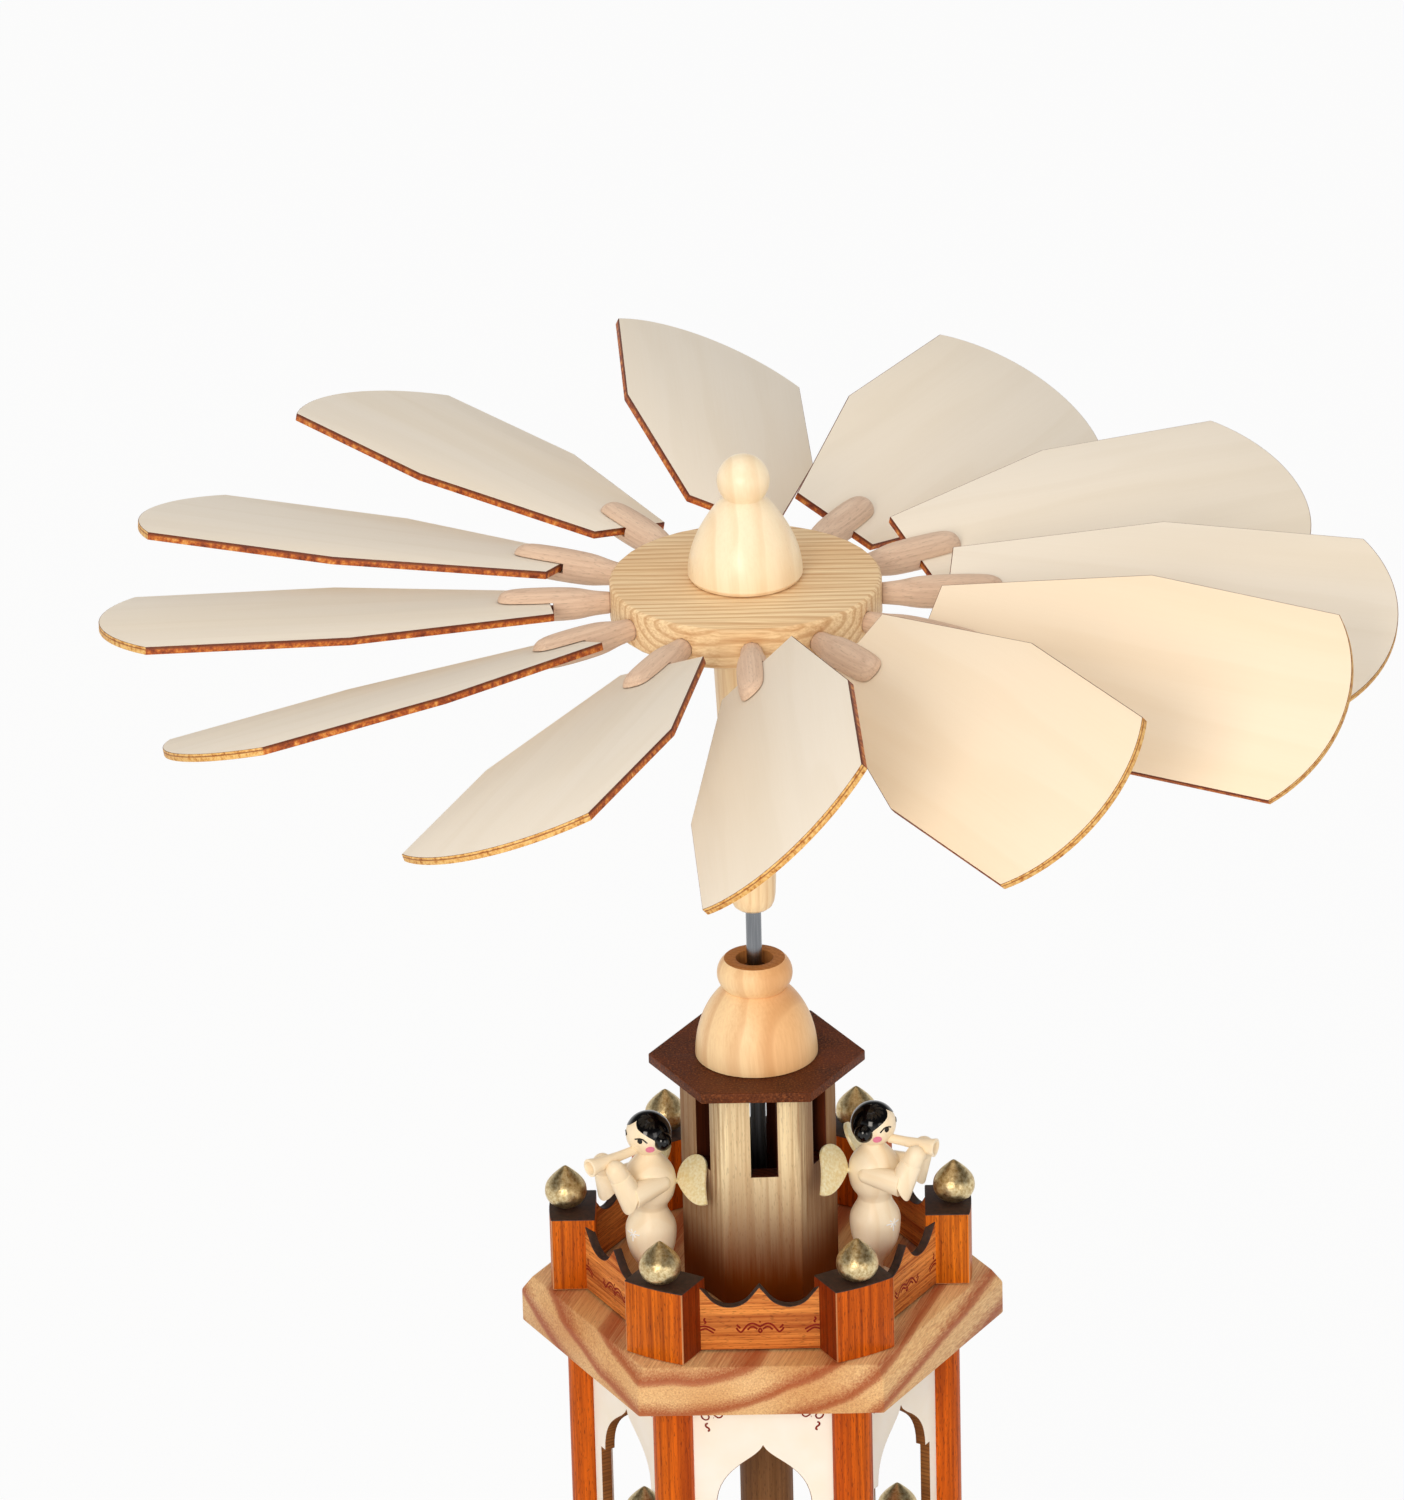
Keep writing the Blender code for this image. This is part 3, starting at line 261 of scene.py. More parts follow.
def metal(name, colour, roughness, scratch, stretch):
    """Bare metal with the fine marks that its machining left, scratch mm apart."""
    made, tree, shader = finish(name, Metallic=1.0)
    place = add(tree, "TexCoord", out="Object")
    long = add(tree, "Mapping", {"Vector": place, "Scale": [1000 * s for s in stretch]})
    marks = add(tree, "TexNoise", {"Vector": long, "Scale": 1 / scratch, "Detail": 3.0})
    gloss = add(tree, "MapRange", {"Value": marks, "To Min": 0.6 * roughness, "To Max": 1.5 * roughness})
    tint = add(tree, "MixRGB", {0: marks, 1: linear(colour), 2: linear("#ffffff")})
    tint = add(tree, "MixRGB", {0: 0.25, 1: linear(colour), 2: tint})
    bump = add(tree, "Bump", {"Strength": 0.4, "Distance": 0.00001, "Height": marks})
    wire(tree, shader, Base_Color=tint, Roughness=gloss, Normal=bump)
    return made


# Turned brass: warm yellow, with the tool's rings.
brass = metal("turned brass", "#c9a356", 0.30, 0.3, (0.05, 0.05, 1))
low, high = heights("pivot_cup")
cup = lathe("brass_pivot_cup", ((0, low), (7, low), (7, high), (3.4, high), (0, high - 4.2)), edge=0.3)
ride_all(give(cup, brass), "brass", "stand", "pivot_cup")

# Drawn silver steel: bright, marked lengthwise. Below the dome, where it runs inside the tower, it is coloured near
# black as painted shade.
steel = metal("drawn silver steel", "#5f6369", 0.22, 0.25, (1, 1, 0.02))
shaded_steel = metal("steel, painted shade inside the tower", "#2b2827", 0.55, 0.4, (1, 1, 0.02))
low, high = heights("axle")
dome_foot = heights("guide_bush")[0]
rod = lathe("steel_rod", ((0, low), (2.4, low + 5.8), (2.5, low + 6.2), (2.5, dome_foot), (2.5, high - 0.4),
                          (2.1, high), (0, high)), 32, 0.1)
give(rod, steel, shaded_steel)
# Faces below the dome get the painted shade.
for face in rod.data.polygons:
    face.material_index = 1 if 1000 * face.center.z < dome_foot else 0
ride_all(rod, "steel", "rotor", "axle")


# Candle holders. Six turned sockets with a foot, a slim stem and a cup for a 14 mm candle, stained
# the colour of mahogany and glued to the corners of the base.

def copy_of(piece, name):
    twin = bpy.data.objects.new(name, piece.data.copy())
    bpy.context.scene.collection.objects.link(twin)
    return twin


def at(x, y, z):
    return Matrix.Translation((x / 1000, y / 1000, z / 1000))


def turned(degrees, axis="Z"):
    return Matrix.Rotation(math.radians(degrees), 4, axis)


def on_circle(radius, number, height):
    """The place of one of six pieces round the middle, which all keep facing one way."""
    angle = math.tau * (number - 1) / 6
    return at(radius * math.cos(angle), radius * math.sin(angle), height)


def lay(piece, where):
    """Takes a piece from the bench to its place, and makes that place part of its shape."""
    use(piece)
    piece.matrix_world = where
    bpy.ops.object.transform_apply(location=True, rotation=True, scale=True)
    return piece


# Beech stained with mahogany: strong orange-brown, close vertical grain with short dark pores,
# and a satin lacquer. Pores are drawn 0.4 mm wide, coarser than the real 0.1 mm, to show at all.
mahogany = timber("beech, mahogany stain, satin lacquer", "#d85c08", "#742404", "#e8760e", ring=2.4,
                  pith=(0, 19, 0), wobble=2.0, lines=0.42, fibre=0.6, spread=0.7, pores=0.5,
                  rough=(0.3, 0.5), gleam=0.13, crisp=0.68)
low, high = heights("candle_holder_1")
tall = high - low
holder = lathe("holder", (
    (0, 0), (12.6, 0), (13, 0.6), (13, 2.6), (11.2, 3.6), (7.8, 5.2), (6.2, 6.8), (6, 8.8), (7, 10),
    (9.2, 11.2), (10.7, 13), (11.3, 16), (11.2, 19.5), (10.5, 23), (9.7, tall), (7.6, tall),
    (7.3, tall - 0.6), (7.3, tall - 14), (0, tall - 14)))
for number in range(1, 7):
    one = copy_of(holder, f"turned_candle_holder_{number}")
    keep_grain(one, (50 * number, 0, 200 * number))
    lay(give(one, mahogany), on_circle(138, number, low))
    ride_all(one, "mahogany_stain", "stand", f"candle_holder_{number}")
bpy.data.objects.remove(holder)


# Arcades. Each tier stands on six stained dowels. Between them sit thin boards sawn to a keel arch,
# sprayed cream on both sides, with dark red scrolls painted in the upper corners.

def bezier(points, steps):
    """Points along one cubic curve, both ends included."""
    curve = []
    for i in range(steps + 1):
        t = i / steps
        weights = ((1 - t) ** 3, 3 * t * (1 - t) ** 2, 3 * t * t * (1 - t), t ** 3)
        curve.append(tuple(sum(w * p[axis] for w, p in zip(weights, points)) for axis in (0, 1)))
    return curve


def through(points, steps=4):
    """A smooth outline through every point given."""
    ends = [points[0]] + list(points) + [points[-1]]
    curve = []
    for a, b, c, d in zip(ends, ends[1:], ends[2:], ends[3:]):
        for i in range(steps):
            t = i / steps
            curve.append(tuple(0.5 * (2 * q + (r - p) * t + (2 * p - 5 * q + 4 * r - s) * t * t
                                      + (3 * q - p - 3 * r + s) * t ** 3)
                               for p, q, r, s in zip(a, b, c, d)))
    return curve + [points[-1]]


def both_halves(right):
    """An outline from the middle of its top round to the right, made whole."""
    return [(-x, y) for x, y in reversed(right[1:])] + right


def board(name, outline, thickness, edge=0.3):
    """A piece sawn from a board: its outline in X and Y, the thickness half above and half below."""
    points = [(x, y, -thickness / 2) for x, y in outline]
    piece = line(name, points + points[:1])
    bpy.ops.mesh.remove_doubles(threshold=2e-6)
    bpy.ops.mesh.edge_face_add()
    bpy.ops.mesh.extrude_region_move(TRANSFORM_OT_translate={"value": (0, 0, thickness / 1000)})
    bpy.ops.mesh.select_all(action="SELECT")
    bpy.ops.mesh.normals_make_consistent(inside=False)
    bpy.ops.object.mode_set(mode="OBJECT")
    soften(piece, edge)
    keep_grain(piece)
    return piece


def sawn_edges(piece):
    """The faces that the saw or the laser cut get the second finish; flat faces keep the first."""
    for face in piece.data.polygons:
        face.material_index = 0 if abs(face.normal.z) > 0.98 else 1


def glue_up(name, pieces):
    """Several pieces made one."""
    bpy.ops.object.select_all(action="DESELECT")
    for piece in pieces:
        piece.select_set(True)
    bpy.context.view_layer.objects.active = pieces[0]
    bpy.ops.object.join()
    pieces[0].name = pieces[0].data.name = name
    return pieces[0]


def six_round(name, piece, first, plank):
    """Six like pieces round the middle, from first degrees, each sawn from another stretch of plank."""
    ring = []
    for number in range(6):
        one = copy_of(piece, name)
        further = Vector((13 * number, 21 * number, plank + 170 * number)) / 1000
        for mark in one.data.attributes["grain"].data:
            mark.vector = Vector(mark.vector) + further
        ring.append(lay(one, turned(first + 60 * number)))
    bpy.data.objects.remove(piece)
    return glue_up(name, ring)


def paint(name, colour, other, size, share, rough, relief=0.01, uneven=0.06, **constants):
    """Brushed or sprayed paint: one colour that drifts to another in clouds of that size."""
    made, tree, shader = finish(name, **constants)
    bench = add(tree, "Attribute", attribute_name="grain", out="Vector")
    cloud = add(tree, "TexNoise", {"Vector": bench, "Scale": 1000 / size, "Detail": 3.0})
    blend = add(tree, "MapRange", {"Value": cloud, "From Min": 0.35, "From Max": 0.7, "To Max": share})
    tone = add(tree, "MixRGB", {0: blend, 1: linear(colour), 2: linear(other)})
    skin = add(tree, "TexNoise", {"Vector": bench, "Scale": 1800.0, "Detail": 2.0})
    bump = add(tree, "Bump", {"Strength": 1.0, "Distance": relief / 1000, "Height": skin})
    gloss = add(tree, "MapRange", {"Value": skin, "To Min": rough - uneven, "To Max": rough + uneven})
    wire(tree, shader, Base_Color=tone, Roughness=gloss, Normal=bump)
    return made


def brush(points, width):
    """A brush stroke through the points, with round ends."""
    stroke = line("stroke", points)
    bpy.ops.object.mode_set(mode="OBJECT")
    bpy.ops.object.convert(target="CURVE")
    stroke.data.bevel_depth = width / 2000
    stroke.data.bevel_resolution = 1
    stroke.data.use_fill_caps = True
    bpy.ops.object.convert(target="MESH")
    keep_grain(stroke)
    return stroke


def painted(mark, place, width, side=1):
    """A curl painted by hand: points round place, mirrored for the left side."""
    stroke = brush([(x, y, 0) for x, y in through(mark)], width)
    lay(stroke, at(side * place[0], place[1], place[2]) @ Matrix.Diagonal((side, 1, 0.25, 1)))
    edit(stroke)
    bpy.ops.mesh.normals_make_consistent(inside=False)
    bpy.ops.object.mode_set(mode="OBJECT")
    keep_grain(stroke)
    return stroke


def painted_round(name, strokes, place, plank, slot, node):
    """The strokes of one bay as one piece, brought to all six bays."""
    scrolls = six_round(name, lay(glue_up("strokes", strokes), place), 30, plank)
    ride_all(give(scrolls, scroll_red), slot, "stand", node)


# Cream spray paint on limewood board, slightly chalky. Laser-cut edges stay brown and gold.
cream = paint("cream spray paint", "#fcf5e9", "#f7ead2", 14, 0.5, 0.55, IOR=1.45)
charred = timber("laser-cut edge, brown", "#935a2c", "#3c1b0a", "#b87c3c", ring=1.3, pith=(0, 9, 0),
                 wobble=1.0, lines=0.5, fibre=0.6, spread=0.6, rough=(0.5, 0.7))
scroll_red = paint("dark red brush paint", "#8a2310", "#6a160c", 2, 0.6, 0.5, IOR=1.45,
                   Specular_IOR_Level=0.15)

big_curl = ((1.2, 1.2), (0.75, 0.35), (1.1, -0.55), (2.1, -0.7), (2.95, 0.05), (3.2, 1.05), (2.5, 2.1),
            (1.2, 2.5), (-0.15, 1.75), (-1.35, 0.55), (-2.4, -0.05), (-3.4, 0.45), (-3.5, 1.5),
            (-2.8, 1.95), (-2.1, 1.4))
small_curl = ((1.2, -2.0), (1.85, -2.4), (1.75, -3.2), (0.95, -3.85), (0.75, -4.65), (1.25, -4.85))
dot = ((-0.75, -0.05), (-0.65, 0.0))
glue = 0.3
upright = turned(90) @ turned(90, "X")


def build_arcade(tier, floor_node, circle):
    low, height = heights(floor_node)[1] + glue, 143
    column = lathe(f"{tier}_dowel", ((0, 0), (6.3, 0), (6.6, 0.3), (6.6, height - 0.3), (6.3, height),
                                     (0, height)), edge=0.1)
    columns = six_round(f"{tier}_dowel_columns", lay(column, at(circle, 0, low)), 0, 100)
    ride_all(give(columns, mahogany), "mahogany_stain", "stand", f"{tier}_arcade")
    half_bay, rise, tip = circle / 2, 22, height - 20.4
    jamb = half_bay - 10.7
    spring = jamb - 2.7
    flank = bezier(((0, tip), (0.16 * spring, tip - 0.25 * rise), (spring, tip - 0.34 * rise),
                    (spring, tip - rise)), 14)
    right = flank + [(jamb, tip - rise), (jamb, 0), (half_bay, 0), (half_bay, height - 1)]
    panel = give(board(f"{tier}_panel", both_halves(right), 3.5, 0.22), cream, charred)
    sawn_edges(panel)
    place = at(circle * math.cos(math.pi / 6), 0, low + 0.5) @ upright
    panels = six_round(f"{tier}_arched_panels", lay(panel, place), 30, 300)
    ride_all(panels, "cream_paint", "stand", f"{tier}_arcade")
    corner = (half_bay - 12.3, height - 9.7, 1.82)
    strokes = []
    for side in (-1, 1):
        strokes += [painted(mark, corner, width, side)
                    for mark, width in ((big_curl, 0.52), (dot, 0.52), (small_curl, 0.62))]
    painted_round(f"{tier}_painted_scrolls", strokes, place, 500, "cream_paint", f"{tier}_arcade")


build_arcade("lower", "base_board", 80.1)
build_arcade("upper", "middle_deck", 57.5)


# Decks. Two hexagons of the same pine as the base, with a chamfer that shows the end grain as a
# lighter band, glued on top of the columns.

for deck, shift in (("middle_deck", 23), ("top_deck", 0)):
    piece = from_frame(f"pine_{deck}", deck, 0.5, board_pine)
    keep_grain(piece, (shift, 0, -heights(deck)[1]))
    ride_all(piece, "pine", "stand", deck)


# Balustrades. Every corner has a stained block with a round face and a gilt onion on it; scalloped
# rails with a painted scroll are let in between. Tops and scallops are burnt almost black.

# The same stain on softwood rails: bright orange with rows of dark red latewood, brushed raw.
rail_wood = timber("pine rail, mahogany stain", "#f09a4c", "#8c2e08", "#d46a20", ring=1.3,
                   pith=(0, 3, 14), turn=(0, 90, 0), wobble=1.6, lines=0.5, fibre=0.85, spread=0.7,
                   pores=0.5, relief=0.05, rough=(0.4, 0.6), gleam=0.12, ragged=0.3, fine=1.0, crisp=0.66)
burnt = paint("burnt wood, nearly black", "#2a1710", "#4a2a1a", 1.6, 0.7, 0.6, 0.03)
block_wood = timber("beech block, mahogany stain", "#d8620e", "#702405", "#ea801a", ring=2.8,
                    pith=(0, 16, 0), wobble=2.4, lines=0.38, crisp=0.68, fibre=0.7, spread=0.8,
                    pores=0.5, rough=(0.3, 0.48), gleam=0.13)
# The flat sides of the two front blocks are coloured a dark red-brown as painted shade, where they face away from
# the lamps.
shaded_sides = timber("beech block sides, painted shade", "#8e3208", "#431003", "#a8420c", ring=2.8,
                pith=(0, 16, 0), wobble=2.4, lines=0.38, fibre=0.65, spread=0.8, pores=0.5,
                rough=(0.3, 0.48), gleam=0.1)
# The long edges show paler beech, partly where fingers and sandpaper rubbed the stain off and partly as a painted
# highlight.
worn_and_highlit = timber("beech edge, rubbed pale, painted highlight", "#c98552", "#8c4420", "#d9a070", ring=1.6,
              pith=(0, 9, 0), wobble=2.0, lines=0.4, fibre=0.7, spread=0.9)
# Gold bronze paint stippled on turned wood: metallic, soft hammered highlights about 1 mm wide.
gilt, tree, shader = finish("gold bronze paint on wood", Metallic=1.0)
bench = add(tree, "Attribute", attribute_name="grain", out="Vector")
stipple = add(tree, "TexNoise", {"Vector": bench, "Scale": 900.0, "Detail": 3.0, "Roughness": 0.6})
flake = add(tree, "TexVoronoi", {"Vector": bench, "Scale": 1400.0})
tone = add(tree, "MapRange", {"Value": stipple, "From Min": 0.22, "From Max": 0.75})
tone = add(tree, "MixRGB", {0: tone, 1: linear("#a27c3c"), 2: linear("#f8e8ba")})
gloss = add(tree, "MapRange", {"Value": stipple, "To Min": 0.30, "To Max": 0.48})
dent = add(tree, "Math", {0: flake, 1: 0.5, 2: stipple}, operation="MULTIPLY_ADD")
bump = add(tree, "Bump", {"Strength": 0.6, "Distance": 0.00012, "Height": dent})
wire(tree, shader, Base_Color=tone, Roughness=gloss, Normal=bump)


def arc(centre, radius, start, end, steps):
    angles = [math.radians(start + (end - start) * i / steps) for i in range(steps + 1)]
    return [(centre[0] + radius * math.cos(a), centre[1] + radius * math.sin(a)) for a in angles]


onion = through(((0.47, 0.0), (0.80, 0.11), (0.97, 0.26), (1.0, 0.40), (0.92, 0.55), (0.68, 0.71),
                 (0.37, 0.86), (0.14, 0.96), (0.0, 1.0)), 3)
finial = lathe("finial", [(0, 0)] + [(max(6.8 * r, 0), 14.2 * z) for r, z in onion], 40, 0.1)

# The rail's ornament: a flower in the middle, a spray to either side, and half of one at each end.
flower = (((0.0, 1.6), (0.0, 2.1)), ((-0.6, 0.7), (0.0, 0.1), (0.6, 0.7)),
          ((-0.55, -1.3), (0.0, -2.0), (0.55, -1.3), (0.0, -0.6), (-0.55, -1.3)))
spray = (((0.4, 0.3), (1.4, 1.0), (2.6, 1.3), (3.9, 0.8), (5.0, -0.5), (6.1, -1.8), (7.0, -1.2), (7.6, -0.2)),
         ((0.9, -0.8), (2.0, 0.0), (3.1, -0.1), (4.0, -1.0)), ((6.3, -0.4), (7.0, 0.3), (7.4, 0.9)))
end_spray = (((-1.6, 3.4), (-1.2, 2.8), (-1.7, 1.9), (-1.3, 1.5)),
             ((0.2, 0.4), (-1.4, 0.5), (-3.0, 0.0), (-4.7, -1.0)),
             ((0.2, -0.9), (-1.6, -0.4), (-3.1, -1.2), (-4.2, -2.0)))


def build_balustrade(tier, radius):
    low, half_block, rail_top = heights(f"{tier}_deck")[1] + glue, 10.7, 22.7
    node = f"{tier}_balustrade"
    outer = radius - 9.9
    spread = math.degrees(math.asin(half_block / outer))
    outline = arc((0, 0), outer, -spread, spread, 8)
    outline += [(outer - 15.1, half_block), (outer - 15.1, -half_block)]
    block = give(board(f"{tier}_block", outline, 25.5, 0.35), block_wood, burnt, worn_and_highlit, shaded_sides)
    # Tops are burnt, the long outer edges rubbed pale with a painted highlight, the flat sides painted shade.
    for face in block.data.polygons:
        edge = 0.35 < abs(face.normal.y) < 0.95 and face.normal.x > 0 and face.area < 2e-5
        side = abs(face.normal.y) > 0.95
        face.material_index = 1 if face.normal.z > 0.3 else 2 if edge else 3 if side else 0
    blocks = six_round(f"{tier}_corner_blocks", lay(block, at(0, 0, low + 12.75)), 0, 200)
    # Only the two front blocks keep the painted shade on their flat sides; the others go back to the plain stain.
    for face in blocks.data.polygons:
        if face.material_index == 3 and face.center.y > -0.04:
            face.material_index = 0
    front = radius * math.cos(math.pi / 6) - 13.5
    bay = front * math.tan(math.pi / 6) - half_block / math.cos(math.pi / 6)
    angle, rise = math.radians(52), 7.2
    bowl = (bay / 2 - rise / math.tan(angle)) / (math.sin(angle) - (1 - math.cos(angle)) / math.tan(angle))
    right = [(0, rail_top)] + arc((bay / 2, rail_top - rise + bowl), bowl, 218, 322, 14)
    right += [(bay, rail_top), (bay + 1.6, rail_top), (bay + 1.6, 0)]
    rail = give(board(f"{tier}_rail", both_halves(right), 3, 0.25), rail_wood, burnt)
    sawn_edges(rail)
    place = at(front - 1.5, 0, low + 0.3) @ upright
    rails = six_round(f"{tier}_scalloped_rails", lay(rail, place), 30, 700)
    for piece in (blocks, rails):
        ride_all(piece, "mahogany_stain", "stand", node)
    strokes = [painted(mark, (0, 8.2, 1.52), 0.6) for mark in flower]
    for side in (-1, 1):
        strokes += [painted(mark, (0, 8.2, 1.52), 0.62, side) for mark in spray]
        strokes += [painted(mark, (bay, 8.2, 1.52), 0.6, side) for mark in end_spray]
    painted_round(f"{tier}_rail_scrolls", strokes, place, 900, "mahogany_stain", node)
    for number in range(1, 7):
        one = copy_of(finial, f"{tier}_gilt_onion_{number}")
        keep_grain(one, (20 * number, 0.1 * radius, 0))
        lay(give(one, gilt), on_circle(radius - 15.5, number, low + 25.8))
        ride_all(one, "gilding", "stand", f"top_finial_{number}" if tier == "top" else node)


build_balustrade("middle", 101.1)
build_balustrade("top", 78.5)
bpy.data.objects.remove(finial)


# Tower. Six pine boards mitred to a tube, with a slot sawn down the middle of each one. The wood
# turns brown towards the deck, and its side faces are darkened with painted shade.

tower_pine = timber("pine, brown towards the deck, painted shade at the sides", "#ffecc0", "#a5703a", "#ecbf80", ring=3.1, pith=(6, 34, 0),
                    lines=0.36, fibre=0.45, spread=0.7, pores=0.2, rough=(0.38, 0.55), gleam=0.1,
                    ragged=0.25, crisp=0.7, stain=("#6e3206", 0.356, 0.410, 1.0, (0.0140, 0.0205, 0.70)))
# Inside and in the slots the wood is coloured nearly black as painted shade, where little light
# gets in. Faces there lie further in than the outer walls, measured in metres.
tower_inside_shade = timber("pine inside the tower, painted shade", "#4a1e0d", "#180804", "#6a2d12", ring=2.0, pith=(6, 34, 0),
                      fibre=0.6, spread=0.8, gleam=0.1)
tower = from_frame("pine_tower", "tower", 0.3, tower_pine, tower_inside_shade)
low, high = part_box("tower")
flat = min(high.x - low.x, high.y - low.y) / 2
walls = [Vector((math.cos(a), math.sin(a), 0)) for a in (math.radians(30 + 60 * i) for i in range(6))]
# Faces inside the tube and in the slots take the painted shade.
for face in tower.data.polygons:
    inside = max(face.center.dot(wall) for wall in walls) < flat - 0.0006
    face.material_index = 1 if inside and face.center.z < high.z - 0.0005 else 0
ride_all(tower, "pine", "stand", "tower")

# Fibreboard, dark walnut stain: flat red-brown with pale and black specks about 0.4 mm across.
roof_stain, tree, shader = finish("fibreboard, dark walnut stain", IOR=1.45, Specular_IOR_Level=0.18)
bench = add(tree, "Attribute", attribute_name="grain", out="Vector")
fleck = add(tree, "TexNoise", {"Vector": bench, "Scale": 1500.0, "Detail": 4.0, "Roughness": 0.7})
drift = add(tree, "TexNoise", {"Vector": bench, "Scale": 45.0, "Detail": 2.0})
tone = add(tree, "ValToRGB", {0: fleck}, stops=((0.30, "#200d05"), (0.72, "#a05c32"), (0.52, "#542a13")))
warm = add(tree, "MapRange", {"Value": drift, "From Min": 0.4, "From Max": 0.7, "To Max": 0.45})
tone = add(tree, "MixRGB", {0: warm, 1: tone, 2: linear("#7c3c18")})
gloss = add(tree, "MapRange", {"Value": fleck, "To Min": 0.4, "To Max": 0.65})
bump = add(tree, "Bump", {"Strength": 1.0, "Distance": 0.00006, "Height": fleck})
wire(tree, shader, Base_Color=tone, Roughness=gloss, Normal=bump)
roof = from_frame("stained_tower_roof", "tower_roof", 0.4, roof_stain)
ride_all(roof, "dark_stain", "stand", "tower_roof")


# Dome. Turned from one block of limewood with a ring on top, bored for the rod and its metal bush,
# oiled a warm orange. The grain stands upright, with a darker flame on one side.

lime_oiled = timber("limewood, oiled orange", "#ffdeac", "#c67c3e", "#f0b272", ring=9.0, pith=(14, 30, 0),
                    turn=(8, 5, 0), wobble=6.0, lines=0.32, fibre=0.2, spread=0.65, rough=(0.33, 0.45),
                    gleam=0.3)
# End grain on the ring's flat top and in its bore took up more oil.
end_grain = timber("limewood end grain, oiled dark", "#b87a42", "#8a5228", "#c88a50", ring=2.0,
                   pith=(14, 30, 0), lines=0.3, fibre=0.5, gleam=0.1)
low = heights("dome")[0]
collar = low + 23.2
top = collar + 10.3
outline = [(19.8 * math.cos(a), low + 27 * math.sin(a)) for a in (1.035 * i / 16 for i in range(17))]
outline += arc((5.57, collar + 5.15), 6.63, -50, 50, 14)
outline += [(9.6, top), (6.1, top), (6, top - 0.2), (6, collar + 5.8), (4.5, collar + 5.8), (4.5, low)]
dome = give(lathe("turned_dome", outline, 64, 0.1), lime_oiled, end_grain)
for face in dome.data.polygons:
    bored = Vector((face.center.x, face.center.y)).length < 0.0062
    face.material_index = 1 if 1000 * face.center.z > top - 0.3 or bored else 0
ride_all(dome, "limewood", "stand", "dome")

low, high = heights("guide_bush")
bush = lathe("steel_bush", ((2.8, low), (4.2, low), (4.2, high - 0.2), (4, high), (3, high),
                            (2.8, high - 0.2)), 40, 0.1)
ride_all(give(bush, steel), "steel", "stand", "guide_bush")


# Spindle and turntables. A stained wooden tube is glued on the rod from the base to the top deck, and
# two thin discs with turned hubs sit on it, one for each tier of figures.

walnut = timber("beech, pale walnut stain", "#97693e", "#5a3a1e", "#7d5631", ring=2.2, pith=(0, 12, 0),
                wobble=1.5, lines=0.35, fibre=0.5, spread=0.5, pores=0.35, rough=(0.45, 0.6))
low, high = heights("spindle")
tube = lathe("stained_spindle", ((2.8, low), (7, low), (8.1, low + 0.4), (8.7, low + 1.7),
                                 (8.7, high - 0.4), (8.3, high), (2.8, high)), edge=0.1)
ride_all(give(tube, walnut), "walnut_stain", "rotor", "spindle")

disc_pine = timber("pine disc, satin varnish", "#e8c78e", "#bd8448", "#d6a05c", ring=3.4, pith=(0, 22, 6),
                   turn=(0, 90, 0), wobble=4.0, lines=0.6, fibre=0.28, spread=0.5)
for name, radius in (("ground_turntable", 60), ("middle_turntable", 43)):
    low, high = heights(name)
    disc = lathe(f"pine_{name}", ((9, low), (radius - 0.8, low), (radius, low + 1), (radius, low + 3),
                                  (radius - 0.8, low + 4), (14.6, low + 4), (14, low + 4.6),
                                  (14, high - 1), (13, high), (9, high)), 72)
    ride_all(give(disc, disc_pine), "pine", "rotor", name)


# Fan hub, sleeve and knob. A planed pine disc is drilled round its rim for the pegs and screwed
# between a turned sleeve below and a bell-shaped knob above, all glued to the rod.

# Quarter-sawn pine: straight, even lines about 3 mm apart on the top, curving on the rim.
hub_pine = timber("pine hub, straight grain", "#f9deb0", "#b97c42", "#e8b87c", ring=3.3,
                  pith=(0, 40, -26), turn=(0, 90, 0), wobble=6.0, lines=0.5, fibre=0.5, spread=0.5,
                  relief=0.03, ragged=0.25, crisp=0.7)
hub = from_frame("pine_hub", "hub", 0.3, hub_pine)
keep_grain(hub, (0, 0, -heights("hub")[1]))
ride_all(hub, "pine", "rotor", "hub")

lime_upright = timber("limewood sleeve, upright grain", "#ffe3b6", "#d9a56a", "#fbd29a", ring=3.0,
                      pith=(6, 9, 0), lines=0.35, fibre=0.4, spread=0.6, rough=(0.3, 0.42), gleam=0.3)
low, high = heights("hub_sleeve")
sleeve = lathe("turned_sleeve", (
    (2.8, low), (3.5, low), (5, low + 0.4), (6.2, low + 1.4), (6.9, low + 3), (7.3, low + 5.5),
    (11.2, high - 5.4), (12, high - 5.2), (12.7, high - 4.6), (12.7, high), (2.8, high)))
ride_all(give(sleeve, lime_upright), "limewood", "rotor", "hub_sleeve")

lime = timber("limewood, satin varnish", "#fdebca", "#e0b278", "#f8d9a6", ring=8.0, pith=(10, 40, 0),
              turn=(3, 4, 0), wobble=5.0, lines=0.25, fibre=0.14, spread=0.6, rough=(0.26, 0.36), gleam=0.45)
low = heights("hub_knob")[0]
bell = bezier(((18.1, low), (18.82, low + 9.2), (13.94, low + 18.1), (7.4, low + 26.3)), 20)
outline = [(0, low + 14), (2.8, low + 14), (2.8, low), (17.4, low)] + bell[1:-1]
outline += arc((0, low + 32.6), 8.4, -42, 90, 18)[:-1] + [(0, low + 41)]
ride_all(give(lathe("turned_knob", outline, 64, 0.3), lime), "limewood", "rotor", "hub_knob")


# Pegs and blades. Twelve beech pegs with a sawn slit sit in the rim of the hub, and each one grips
# a thin plywood blade. Turning a peg in its hole sets the pitch of its blade.

